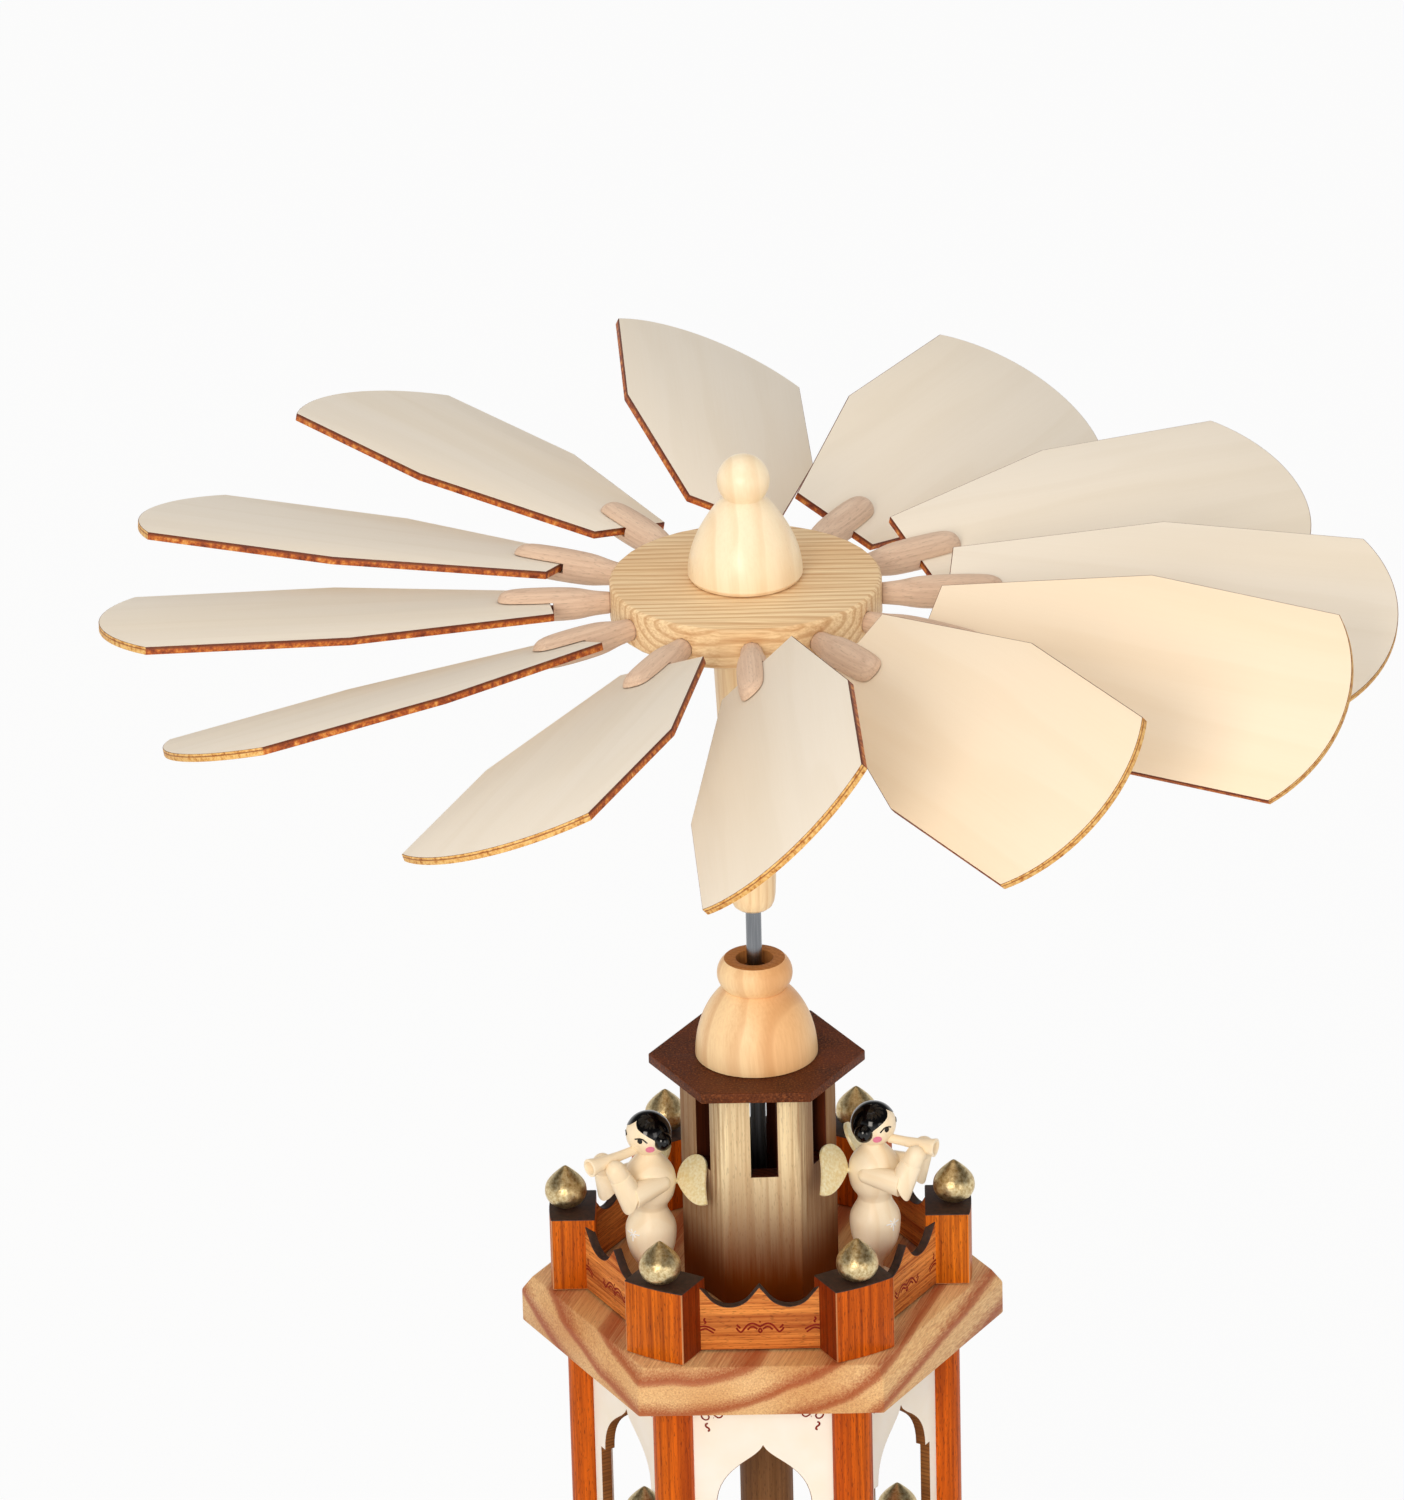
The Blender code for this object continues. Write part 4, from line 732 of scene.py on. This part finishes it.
# Raw steamed beech: greyish pink, matt, with fine short flecks.
peg_beech = timber("raw steamed beech", "#e8ccb2", "#b28c74", "#d8b69a", ring=1.6, pith=(0, 10, 0),
                   turn=(0, 90, 0), wobble=1.0, lines=0.2, fibre=0.35, spread=0.5, pores=0.18,
                   relief=0.03, rough=(0.55, 0.72))
# Peeled birch veneer: almost plain, cream, with wide faint waves along the blade. Two blades, at the
# front right of the fan at rest, get a warmer, peach-coloured copy of it as painted light.
veneer, lit_veneer = (
    timber(name, *colours, ring=18.0, pith=(0, 6, 60), turn=(0, 90, 0), wobble=26.0, lines=0.12,
           fibre=0.06, spread=spread, relief=0.005, rough=(0.5, 0.62))
    for name, colours, spread in (
        ("peeled birch veneer", ("#f2e6d4", "#e0ceb2", "#f2e1c6"), 0.4),
        ("peeled birch veneer, painted warm light", ("#f9e6cb", "#ebcfa8", "#f9e0bf"), 0.5)))


def cut_ply(name, scale, stops):
    """Plywood that a laser cut, in burnt spots: the material, its nodes, the spots, colour and height."""
    made, tree, shader = finish(name, IOR=1.45, Roughness=0.6)
    bench = add(tree, "Attribute", attribute_name="grain", out="Vector")
    spots = add(tree, "TexNoise", {"Vector": bench, "Scale": scale, "Detail": 3.0, "Roughness": 0.7})
    tone = add(tree, "ValToRGB", {0: spots}, stops=stops)
    height = add(tree, "SeparateXYZ", {0: bench}, out="Z")
    return made, tree, shader, spots, tone, height


# The round end was cut fast and stayed golden, with the dark glue line between its plies.
golden, tree, shader, spots, tone, height = cut_ply(
    "laser-cut plywood end, golden", 700.0, ((0.32, "#a8641e"), (0.60, "#f0c47a"), (0.45, "#dba255")))
ply = add(tree, "Math", {0: spots, 1: 0.0004, 2: height}, operation="MULTIPLY_ADD")
ply = add(tree, "Math", {0: ply, 1: 0.0006, 2: 0.00022}, operation="COMPARE")
ply = add(tree, "Math", {0: ply, 1: 0.75}, operation="MULTIPLY")
wire(tree, shader, Base_Color=add(tree, "MixRGB", {0: ply, 1: tone, 2: linear("#8a4312")}))
# The long edges are burnt orange, in spots about 2 mm long, and darkest where the beam went in.
scorched, tree, shader, spots, tone, height = cut_ply(
    "laser-cut plywood edge", 420.0, ((0.32, "#702a0a"), (0.70, "#eaa758"), (0.47, "#a84e18"), (0.58, "#cd7428")))
ply = add(tree, "Math", {0: spots, 1: 0.0012, 2: height}, operation="MULTIPLY_ADD")
ply = add(tree, "MapRange", {"Value": ply, "From Min": 0.0008, "From Max": 0.0014, "To Max": 0.85})
wire(tree, shader, Base_Color=add(tree, "MixRGB", {0: ply, 1: tone, 2: linear("#5a2109")}))

# Each blade as a hand left it: pitch, skew and droop in degrees, how far it stands out of the slit,
# and how much longer its peg is than 37 mm.
settings = ((25, 1.3, -0.9, 1.7, 0), (25.5, -1.3, 0.5, 2.2, 3), (19.5, -4.5, 1.2, 0.9, 0),
            (26, -8.5, 0.5, 1.5, 1.4), (39.5, 1.3, 2.7, 0, 4), (40.5, -2.8, -1.1, -3, -3),
            (43, 1.3, 0.1, -2.1, -1.8), (20.5, 5.7, 2.5, -3, -4), (18.5, -1.2, 0.7, 0, -2.5),
            (9.5, 4.3, -0.4, -0.7, -1.5), (11.5, 8.7, 0.9, 2.1, 3), (11, 9.5, -0.4, 3.5, 4))
peg_shape = ((0.64, 0.0), (0.74, 0.14), (0.95, 0.33), (1.0, 0.62), (0.93, 0.87), (0.68, 0.968), (0.30, 0.997))
rim = 43


def sawn_peg(name, long, saw_start):
    """A turned peg that stands long out of the hub's rim, with the saw's slit in its head."""
    outline = through([(5.4 * r, rim + 0.1 + (long - 0.1) * x) for r, x in peg_shape])
    outline = [(0, 25.3), (2.9, 25.3), (3.2, 25.6), (3.2, rim)] + outline + [(0, rim + long)]
    peg = lay(lathe(name, outline, 36, 0.1), turned(90, "Y"))
    bpy.ops.object.select_all(action="DESELECT")
    bpy.ops.mesh.primitive_cube_add(size=1, location=((saw_start + 25) / 1000, 0, 0), scale=(0.05, 0.02, 0.0031))
    saw = bpy.context.object
    use(peg)
    bpy.ops.object.modifier_add(type="BOOLEAN")
    cut = peg.modifiers[-1]
    cut.object, cut.operation, cut.solver = saw, "DIFFERENCE", "EXACT"
    bpy.ops.object.modifier_apply(modifier=cut.name)
    bpy.data.objects.remove(saw)
    soften(peg, 0.12, 1, 40)
    return peg


end, wide, bulge = 142.1, 33.1, 13
curve = (wide ** 2 + bulge ** 2) / (2 * bulge)
swing = math.degrees(math.asin(wide / curve))
outline = [(0, -15.15), (65.6, -33.35)] + arc((end - curve, 0), curve, -swing, swing, 24)
blade = give(board("blade", outline + [(65.6, 33.35), (0, 15.15)], 2.5, 0.22), veneer, scorched, golden)
sawn_edges(blade)
for face in blade.data.polygons:
    if face.material_index == 1 and face.normal.x > 0.6:
        face.material_index = 2
axis_height = heights("hub")[1] - 7.4
hinge = at(34, 0, 0)
for number, (pitch, skew, droop, out, more) in enumerate(settings, start=1):
    seat = turned(2.8 + 30 * (7 - number) - 90) @ at(0, 0, axis_height)
    seat = seat @ hinge @ turned(droop, "Y") @ hinge.inverted() @ turned(pitch, "X")
    peg = sawn_peg(f"beech_peg_{number}", 37 + more, 62.1 + out - 7.8 * math.sin(math.radians(abs(skew))))
    keep_grain(peg, (30 * number, 0, 11 * number))
    ride_all(lay(give(peg, peg_beech), seat), "beech", f"blade_{number}_unit", f"blade_peg_{number}")
    one = copy_of(blade, f"plywood_blade_{number}")
    keep_grain(one, (310 * number, 70 * number, 0))
    # Blades 5 and 6, at the front right, take the veneer with painted warm light.
    one.data.materials[0] = lit_veneer if number in (5, 6) else veneer
    lay(one, seat @ at(62.6 + out, 2.4, 0) @ turned(skew))
    ride_all(one, "plywood", f"blade_{number}_unit", f"blade_{number}")
bpy.data.objects.remove(blade)


# Angels. Two trumpet players turned from limewood, glued to the top deck beside the tower. Arms and
# trumpet are turned apart; hair, eyes, cheeks and a star on the skirt are painted, the wings gilded.

# Pale limewood under a thin satin lacquer: cream, almost no figure, soft highlights.
angel_lime = timber("pale limewood, thin lacquer", "#ffeed0", "#ecc890", "#fbe6c2", ring=5.0,
                    pith=(5, 14, 0), lines=0.22, fibre=0.12, spread=0.5, rough=(0.30, 0.42), gleam=0.4)
hair_black = paint("gloss black enamel", "#040304", "#070506", 2, 0.5, 0.11, 0.0, 0.01, IOR=1.45)
cheek_pink = paint("pink enamel", "#ee7fa2", "#f19ab4", 1, 0.5, 0.4, 0.0, IOR=1.5)
star_white = paint("white enamel", "#ffffff", "#f8f6f2", 1, 0.5, 0.4, 0.0, IOR=1.5)
# Pale gold bronze paint over bare wood: the grain shows through as a fine stipple.
wing_gold = paint("pale gold bronze paint", "#f0dda2", "#fff6d4", 0.9, 1.0, 0.46, 0.07, Metallic=0.2)


def on_ball(radius, turn, rise):
    """A point on a ball, from degrees round it from the front and degrees up."""
    a, b = math.radians(turn), math.radians(rise)
    return radius * Vector((math.cos(b) * math.cos(a), math.cos(b) * math.sin(a), math.sin(b)))


def facing(way, axis, up):
    return way.to_track_quat(axis, up).to_matrix().to_4x4()


def ball(name, radius, place=(0, 0, 0), stretch=(1, 1, 1), sides=40):
    bpy.ops.object.select_all(action="DESELECT")
    bpy.ops.mesh.primitive_uv_sphere_add(segments=sides, ring_count=sides // 2, radius=radius / 1000)
    piece = bpy.context.object
    piece.name = piece.data.name = name
    bpy.ops.object.shade_smooth()
    lay(piece, at(*place) @ Matrix.Diagonal((*stretch, 1)))
    keep_grain(piece)
    return piece


def dab(name, radius, turn, rise, size):
    """A flat oval dab of paint on a ball."""
    spot = ball(name, 1, stretch=(0.09, *size), sides=24)
    return lay(spot, at(*on_ball(radius, turn, rise)) @ facing(on_ball(1, turn, rise), "X", "Z"))


def cap(name, radius, hairline, thickness=0.14):
    """Painted hair: the part of a ball above a hairline, given as degrees up at degrees round."""
    piece = ball(name, radius, sides=64)
    edit(piece)
    bpy.ops.mesh.bisect(plane_co=(0, 0, 0), plane_no=(0, 0, 1), clear_inner=True)
    bpy.ops.object.mode_set(mode="OBJECT")
    skin = radius / 1000
    for corner in piece.data.vertices:
        angle = math.degrees(math.atan2(corner.co.y, corner.co.x))
        (a, low), (b, high) = next(pair for pair in zip(hairline, hairline[1:]) if abs(angle) <= pair[1][0])
        edge = low + (high - low) * (abs(angle) - a) / (b - a)
        rise = math.degrees(math.asin(max(-1.0, min(1.0, corner.co.z / skin))))
        corner.co = on_ball(skin, angle, 90 - (90 - rise) * (90 - edge) / 90)
    use(piece)
    bpy.ops.object.modifier_add(type="SOLIDIFY")
    coat = piece.modifiers[-1]
    coat.thickness, coat.offset = thickness / 1000, 1
    bpy.ops.object.modifier_apply(modifier=coat.name)
    bpy.ops.object.shade_smooth_by_angle(angle=math.radians(50))
    keep_grain(piece)
    return piece


def along(start, end):
    """Lays what was turned along Z from one point to another."""
    return at(*start) @ facing(Vector(end) - Vector(start), "Z", "Y")


waist, neck, skirt, chest, skull, trunk = 31.2, 50.2, 8.2, 8.5, 7.3, 5.5
gown = through(((2.6, 3.8), (2.4, 7), (0.55 * skirt, 10.5), (0.87 * skirt, 15.5), (skirt, 21),
                (0.97 * skirt, 25.5), (0.66 * skirt, waist), (0.90 * chest, 35.7), (chest, 41.2),
                (0.85 * chest, 45.7), (0.42 * chest, neck)))
body_outline = [(0, 0), (trunk - 0.2, 0), (trunk, 0.2), (trunk, 2.9), (5.2, 3.2)] + gown
body_outline += [(0.30 * chest, neck + 2), (0, neck + 3)]
side_hairline = ((0, 54), (7, 46), (20, 34), (38, 25), (52, 17), (66, 8), (80, -8), (96, -30), (130, -44),
                 (180, -48))
brow = ((50, 0), (46, 4), (40, 9), (33, 11), (25, 10), (17, 7))
wing_top, wing_tip = (0.905, 0.325), (1.0, -0.714)
wing_outline = (bezier(((0, 0), (0, 0.754), (0.833, 0.833), wing_top), 12)[:-1]
                + bezier((wing_top, (0.857, -0.159), (0.952, -0.476), wing_tip), 8)[:-1]
                + bezier((wing_tip, (0.675, -0.833), (0.278, -0.476), (0, 0)), 12)[:-1])
wing_outline = [(12.6 * x, 12.6 * y) for x, y in reversed(wing_outline)]


def build_arm(side):
    """An upper arm, and the cone of a forearm cut off square to it, up to a round hand."""
    shoulder, elbow = Vector((-0.5, 6.6 * side, 42)), Vector((12.2, 6.6 * side, 40.9))
    reach = (elbow - shoulder).length
    outline = arc((0, 0.6), 2.9, -90, 0, 8) + [(3.4, 0.35 * reach), (4.3, reach), (0, reach)]
    arm = lay(lathe("arm", outline, 36), along(shoulder, elbow))
    hand, cuff = Vector((16.15, 3.5 * side, 50.8)), Vector((9.8, 6.8 * side, 35.8))
    tall = (hand - cuff).length
    crease = tall - 3.3
    outline = [(0, 0), (4.9, 0), (3.6, crease - 0.3), (3.3, crease), (3.4, crease + 0.4), (3.3, tall - 1)]
    forearm = lay(lathe("sleeve", outline + arc((0, tall - 0.2), 3.2, 0, 90, 8), 40, 0.1), along(cuff, hand))
    edit(forearm)
    bpy.ops.mesh.bisect(plane_co=(0.0122, 0.0066 * side, 0.0407), plane_no=(0.904, 0, 0.423),
                        use_fill=True, clear_inner=True)
    bpy.ops.object.mode_set(mode="OBJECT")
    soften(forearm, 0.3, sharp=40)
    keep_grain(forearm)
    return [arm, forearm]


def build_wing(side, turn, tilt, lean, drop):
    """A wing sawn from thin board, and the peg that holds it to the back."""
    root = Vector((-0.85 * chest, side * 0.6 * chest, waist + 0.551 * (neck - waist) - drop))
    wing = board("wing", wing_outline, 1.2, 0.2)
    lay(wing, at(*root) @ turned(turn * side) @ turned(90 + lean * side, "X") @ turned(tilt))
    inner = Vector((-0.353 * chest, side * 0.271 * chest, root.z - 0.6))
    span = (root - inner).length + 0.2
    peg = lathe("wing peg", ((0, 0), (0.9, 0), (0.9, span), (0, span + 0.2)), 16, 0.1)
    return [wing, lay(peg, along(inner, root))]


def build_angel(node, foot, faces, trumpet, near, nod, wing_turn, wing_tilt, wing_lean, drop):
    top = neck + skull
    head = at(0, 0, top) @ turned(nod, "Y")
    wood = [lathe("body", body_outline, 56, 0.1), lay(ball("head", skull, sides=56), head)]
    black, pink, white, gold = [lay(cap("hair", skull, side_hairline), head)], [], [], []
    mouth = Vector((0.712 * skull, 0, top - 0.589 * skull))
    horn = lathe("horn", (
        (0, 0), (1.3, 0), (1.5, 0.4), (1.6, 0.35 * trumpet), (2.1, 0.72 * trumpet), (2.7, 0.90 * trumpet),
        (3.05, trumpet - 0.3), (3, trumpet), (2.25, trumpet), (1.7, 0.90 * trumpet), (0.8, 0.68 * trumpet),
        (0, 0.60 * trumpet)), 40, 0.1)
    wood.append(lay(horn, along(mouth, mouth + Vector((trumpet, 0, -0.096 * skull)))))
    for side in (-1, 1):
        wood += build_arm(side)
        marks = (ball("bun", 3.2, on_ball(0.96 * skull, 94 * side, -4), (0.95, 0.9, 1.0), 32),
                 brush([on_ball(skull + 0.02, side * a, b) for a, b in brow], 0.50),
                 dab("eye", skull, 31 * side, 4, (0.88, 0.92)))
        black += [lay(mark, head) for mark in marks]
        pink.append(lay(dab("cheek", skull, 57 * side, -21, (1.5, 1.4)), head))
        gold += build_wing(side, wing_turn, wing_tilt, wing_lean, drop)
    for ray in range(8):
        spoke = []
        for step in (0.12, 0.55, 1.0):
            size = step * (2.7 if ray % 2 == 0 else 1.6)
            height = 24.2 + size * math.sin(math.tau * ray / 8)
            radius = next(r for r, z in gown if z > height)
            turn = math.radians(near) + size * math.cos(math.tau * ray / 8) / radius
            spoke.append((radius * math.cos(turn), radius * math.sin(turn), height))
        white.append(brush(spoke, 0.50))
    for kind, used, pieces in (("wood", angel_lime, wood), ("hair", hair_black, black), ("cheeks", cheek_pink, pink),
                               ("star", star_white, white), ("wings", wing_gold, gold)):
        made = glue_up(f"{node}_{kind}", [give(piece, used) for piece in pieces])
        lay(made, at(*foot) @ turned(faces))
        ride_all(made, "gilding" if kind == "wings" else "limewood", "stand", node)


deck_level = heights("top_deck")[1] + glue
build_angel("angel_left", (-35.294, -12.498, deck_level), -142, 18.7, 8, 1, 99, 23, -36, 1.8)
build_angel("angel_right", (37.294, -7.995, deck_level), -23, 16.5, -22, 0, 107, 25, -29, 0)


# Figures. Small turned and painted dolls ride on the turntables, glued to thin boards: the three
# kings above, and the holy family and a shepherd with two sheep below.

board_lime = timber("thin limewood board", "#ecd3a4", "#c99a5c", "#e0bb80", ring=3.0, pith=(0, 15, 2),
                    turn=(0, 90, 0), lines=0.35, fibre=0.25, spread=0.5)
skin = timber("limewood, bare face", "#f6ddb8", "#e3bd88", "#f1d0a2", ring=6.0, pith=(4, 12, 0),
              wobble=2.0, lines=0.15, fibre=0.1, rough=(0.35, 0.45))
wool = paint("chalky white paint", "#f4efe3", "#e0d6c2", 2, 0.8, 0.75, 0.12, IOR=1.45)
madder, blue, green, sky, brown, olive, ochre, straw_yellow = (
    paint(f"{name} enamel", code, code, 3, 0.0, 0.36, IOR=1.48, Coat_Weight=0.15) for name, code in (
        ("madder red", "#a02a22"), ("deep blue", "#27407f"), ("bottle green", "#2f6a41"),
        ("sky blue", "#5f8fc4"), ("walnut brown", "#6b4226"), ("grey green", "#6d7b56"),
        ("ochre", "#c98f37"), ("straw yellow", "#e6c56b")))

robe_outline = [(0, 0), (0.97, 0), (1, 0.008), (0.99, 0.05)]
robe_outline += through(((0.94, 0.12), (0.66, 0.46), (0.70, 0.58), (0.55, 0.68), (0.30, 0.71)))
robe_outline += [(0.28, 0.74), (0, 0.74)]
cape_outline = through(((0.80, 0.44), (0.82, 0.50), (0.80, 0.59), (0.62, 0.685), (0.34, 0.715)))
cape_outline += [(0.28, 0.716), (0.28, 0.68), (0.60, 0.60), (0.64, 0.45)]
doll_hairline = ((0, 38), (35, 30), (60, 5), (90, -35), (180, -50))


def build_doll(node, label, where, height, radius, robe, cape, hair, hat=None, hat_finish=None):
    """One doll: robe, shoulder cape, head, hair, two eyes, and a crown or hat."""
    circle, degrees, low = where
    size = 0.62 * radius
    head = at(0, 0, 0.86 * height) @ Matrix.Diagonal((1, 1, 0.135 * height / size, 1))

    def shell(kind, outline):
        return lathe(kind, [(radius * r, height * z) for r, z in outline], 40, 0.1)

    parts = [(shell("robe", robe_outline), robe, "robe"), (shell("cape", cape_outline), cape, "cape"),
             (lay(ball("face", size, sides=36), head), skin, "head"),
             (lay(cap("hair", size, doll_hairline, 0.2), head), hair, "hair")]
    eyes = [lay(dab("eye", size, 20 * side, 2, (0.34, 0.42)), head) for side in (-1, 1)]
    parts.append((glue_up("eyes", eyes), hair_black, "eyes"))
    if hat:
        parts.append((shell("hat", hat), hat_finish, "hat"))
    for piece, used, kind in parts:
        piece.name = piece.data.name = f"{label}_{kind}"
        lay(give(piece, used), turned(degrees) @ at(circle, 0, low))
        ride_all(piece, "limewood", "rotor", node)


def build_plinth(node, inner, outer, start, end):
    """A thin curved board under a group; gives the height that the group stands at."""
    low = heights(node)[0]
    outline = arc((0, 0), outer, start, end, 30) + arc((0, 0), inner, end, start, 24)
    piece = give(board(f"{node}_plinth", outline, 2, 0.2), board_lime)
    ride_all(lay(piece, at(0, 0, low + 1)), "limewood", "rotor", node)
    return low + 1.9


def crown(tall):
    """A ring of gold round the head, flared to its rim."""
    return ((0.54, 0.885), (0.58, 0.90), (0.57, 0.93), (0.665, 0.91 + tall), (0.62, 0.912 + tall),
            (0.52, 0.94), (0.48, 0.89))


stand_on = build_plinth("three_kings", 21.4, 36.6, 40, 140)
for label, degrees, tall, robe, cape, hair in (("king_1", 55, 0.085, madder, ochre, brown),
                                               ("king_2", 90, 0.105, blue, madder, brown),
                                               ("king_3", 125, 0.070, green, straw_yellow, hair_black)):
    build_doll("three_kings", label, (29, degrees, stand_on), 40, 6.6, robe, cape, hair, crown(tall), gilt)

stand_on = build_plinth("holy_family", 30.5, 47.5, 35, 125)
build_doll("holy_family", "joseph", (39, 50, stand_on), 44, 7.8, brown, ochre, brown)
build_doll("holy_family", "mary", (39, 110, stand_on), 33, 7.8, madder, sky, sky)
unit = 6.2
trough = [(x * unit, z * unit) for x, z in ((1.0, 0.55), (1.35, 1.5), (1.05, 1.5), (0.7, 0.85), (-0.7, 0.85),
                                            (-1.05, 1.5), (-1.35, 1.5), (-1.0, 0.55))]
foot = [(0.8 * unit * x, 0.8 * unit * y) for x, y in ((-1, -1), (1, -1), (1, 1), (-1, 1))]
crib = [lay(board("trough", trough, 2 * unit), turned(90, "X")),
        lay(board("foot", foot, 0.6 * unit), at(0, 0, 0.3 * unit))]
for piece, used, name in (
        (glue_up("crib", crib), board_lime, "manger"),
        (ball("straw", 1, (0, 0, 1.02 * unit), (5.5, 5.4, 1.9), 32), straw_yellow, "manger_straw"),
        (ball("wrap", 1, (0, -0.4, 1.36 * unit), (1.7, 3.7, 1.4), 28), wool, "child_wrap"),
        (ball("face", 1.5, (0, 3.3, 1.42 * unit), sides=24), skin, "child_face")):
    piece.name = piece.data.name = name
    lay(give(piece, used), turned(80) @ at(39, 0, stand_on))
    ride_all(piece, "limewood", "rotor", "holy_family")

stand_on = build_plinth("shepherd_group", 30.5, 47.5, 205, 305)
brim = ((0.40, 0.925), (0.86, 0.900), (0.90, 0.906), (0.50, 0.945), (0.42, 0.985), (0.20, 1.0), (0, 1.003),
        (0, 0.925))
build_doll("shepherd_group", "shepherd", (39, 225, stand_on), 43, 7.8, olive, brown, brown, brim, ochre)
staff = give(lathe("staff", ((0, 0), (0.8, 0), (0.8, 46), (0.5, 46.4), (0, 46.4)), 16, 0.1), walnut)
lay(staff, turned(240) @ at(43.3, 0, stand_on))
ride_all(staff, "limewood", "rotor", "shepherd_group")
hip = 8.68
for number, degrees in ((1, 262), (2, 290)):
    fleece = [ball("fleece", 7, (0, 0, hip), (0.48, 0.9, 0.5)), ball("tail", 1.2, (0, -6.4, hip + 0.8), sides=20)]
    dark = [ball("muzzle", 2.52, (0, 6.7, hip + 2.4), (0.8, 1.2, 0.9), 28)]
    for side in (-1, 1):
        dark.append(ball("ear", 0.9, (side * 2.1, 6, hip + 3.4), (1.3, 0.6, 0.7), 16))
        for y in (-3.15, 3.15):
            leg = lathe("leg", ((0, 0), (0.9, 0), (0.8, 3), (1.1, hip), (0, hip)), 16, 0.1)
            dark.append(lay(leg, at(side * 1.25, y, 0)))
    for pieces, used, kind in ((fleece, wool, "fleece"), (dark, hair_black, "face_and_legs")):
        made = glue_up(f"sheep_{number}_{kind}", [give(piece, used) for piece in pieces])
        lay(made, turned(degrees) @ at(39, 0, stand_on))
        ride_all(made, "limewood", "rotor", "shepherd_group")


# Studio, in metres. A pale floor, a large soft lamp on the left, weaker ones on the right and above,
# and the camera where the photographer stood: high in front, with a long lens.

bpy.ops.object.select_all(action="DESELECT")
bpy.ops.mesh.primitive_plane_add(size=14, location=(0, 0, -0.0005))
floor = bpy.context.object
floor.name = "studio_floor"
white, tree, shader = finish("white paper floor", Base_Color=linear("#dcdad7"), Roughness=0.9)
seen = add(tree, "LightPath").node.outputs
glow = add(tree, "Emission", {"Color": linear("#ffffff"), "Strength": 1.0})
known = add(tree, "Math", {0: seen["Is Camera Ray"], 1: seen["Is Glossy Ray"]}, operation="MAXIMUM")
share = add(tree, "Math", {0: known, 1: 0.93}, operation="MULTIPLY")
blend = add(tree, "MixShader", {0: share, 1: tree.nodes["Principled BSDF"].outputs[0], 2: glow})
tree.links.new(blend, tree.nodes["Material Output"].inputs["Surface"])
floor.data.materials.append(white)

world = bpy.data.worlds.new("studio")
bpy.context.scene.world = world
world.use_nodes = True
tree = world.node_tree
seen = add(tree, "LightPath").node.outputs
# The room above the white sweep is dim, so gloss on top of the wood stays low.
view = add(tree, "TexCoord", out="Generated")
overhead = add(tree, "SeparateXYZ", {0: view}, out="Z")
dim = add(tree, "MapRange", {"Value": overhead, "From Min": 0.05, "From Max": 0.40, "To Min": 1.0, "To Max": 0.08})
gloss = add(tree, "Math", {0: dim, 1: seen["Is Glossy Ray"]}, operation="MULTIPLY")
known = add(tree, "Math", {0: seen["Is Camera Ray"], 1: gloss}, operation="MAXIMUM")
matt = add(tree, "MapRange", {"Value": seen["Is Glossy Ray"], "To Min": 0.70, "To Max": 0.0})
power = add(tree, "Math", {0: known, 1: matt}, operation="MAXIMUM")
tree.links.new(power, tree.nodes["Background"].inputs["Strength"])
tree.nodes["Background"].inputs["Color"].default_value = linear("#ffffff")

for name, place, aim, size, watts, tint in (
        ("key_left", (-0.8, -2.8, 1.5), (0, 0, 0.45), (1.0, 1.2), 37, "#fff6ea"),
        ("fill_right", (1.6, -2.3, 0.9), (0, 0, 0.45), (0.9, 1.1), 8, "#fff8f0"),
        ("top_soft", (-0.4, -0.5, 2.7), (0, 0, 0.5), (1.2, 1.2), 7, "#fffaf4")):
    lamp = bpy.data.lights.new(name, "AREA")
    lamp.shape = "RECTANGLE"
    lamp.size, lamp.size_y = size
    lamp.energy = watts
    lamp.color = linear(tint)[:3]
    item = bpy.data.objects.new(name, lamp)
    bpy.context.scene.collection.objects.link(item)
    item.location = place
    item.rotation_euler = (Vector(aim) - Vector(place)).to_track_quat("-Z", "Y").to_euler()

# The lens is given for the photograph's 1500 px side, 36 mm on the sensor. The object's middle lies
# 50 px right of the picture's centre and 105 px below it, and the camera leans 1.35 degrees.
target, distance, focal = Vector((0, 0, 0.4912)), 3.0, 9391.86
yaw, rise, lean = math.radians(1.01), math.radians(24.97), math.radians(-1.35)
back = Vector((math.sin(yaw) * math.cos(rise), -math.cos(yaw) * math.cos(rise), math.sin(rise)))
across = Vector((math.cos(yaw), math.sin(yaw), 0))
upward = back.cross(across)
right = math.cos(lean) * across + math.sin(lean) * upward
upward = -math.sin(lean) * across + math.cos(lean) * upward
forward = (-back - right * 50 / focal + upward * 105.5 / focal).normalized()
right = (right - forward * right.dot(forward)).normalized()
upward = right.cross(forward)
camera = bpy.data.objects.new("camera", bpy.data.cameras.new("camera"))
bpy.context.scene.collection.objects.link(camera)
camera.data.lens = 36 * focal / 1500
camera.data.clip_start = 0.1
camera.data.clip_end = 60
rotation = Matrix((right, upward, -forward)).transposed().to_4x4()
camera.matrix_world = Matrix.Translation(target + distance * back) @ rotation
bpy.context.scene.camera = camera
bpy.context.scene.view_settings.view_transform = "Standard"
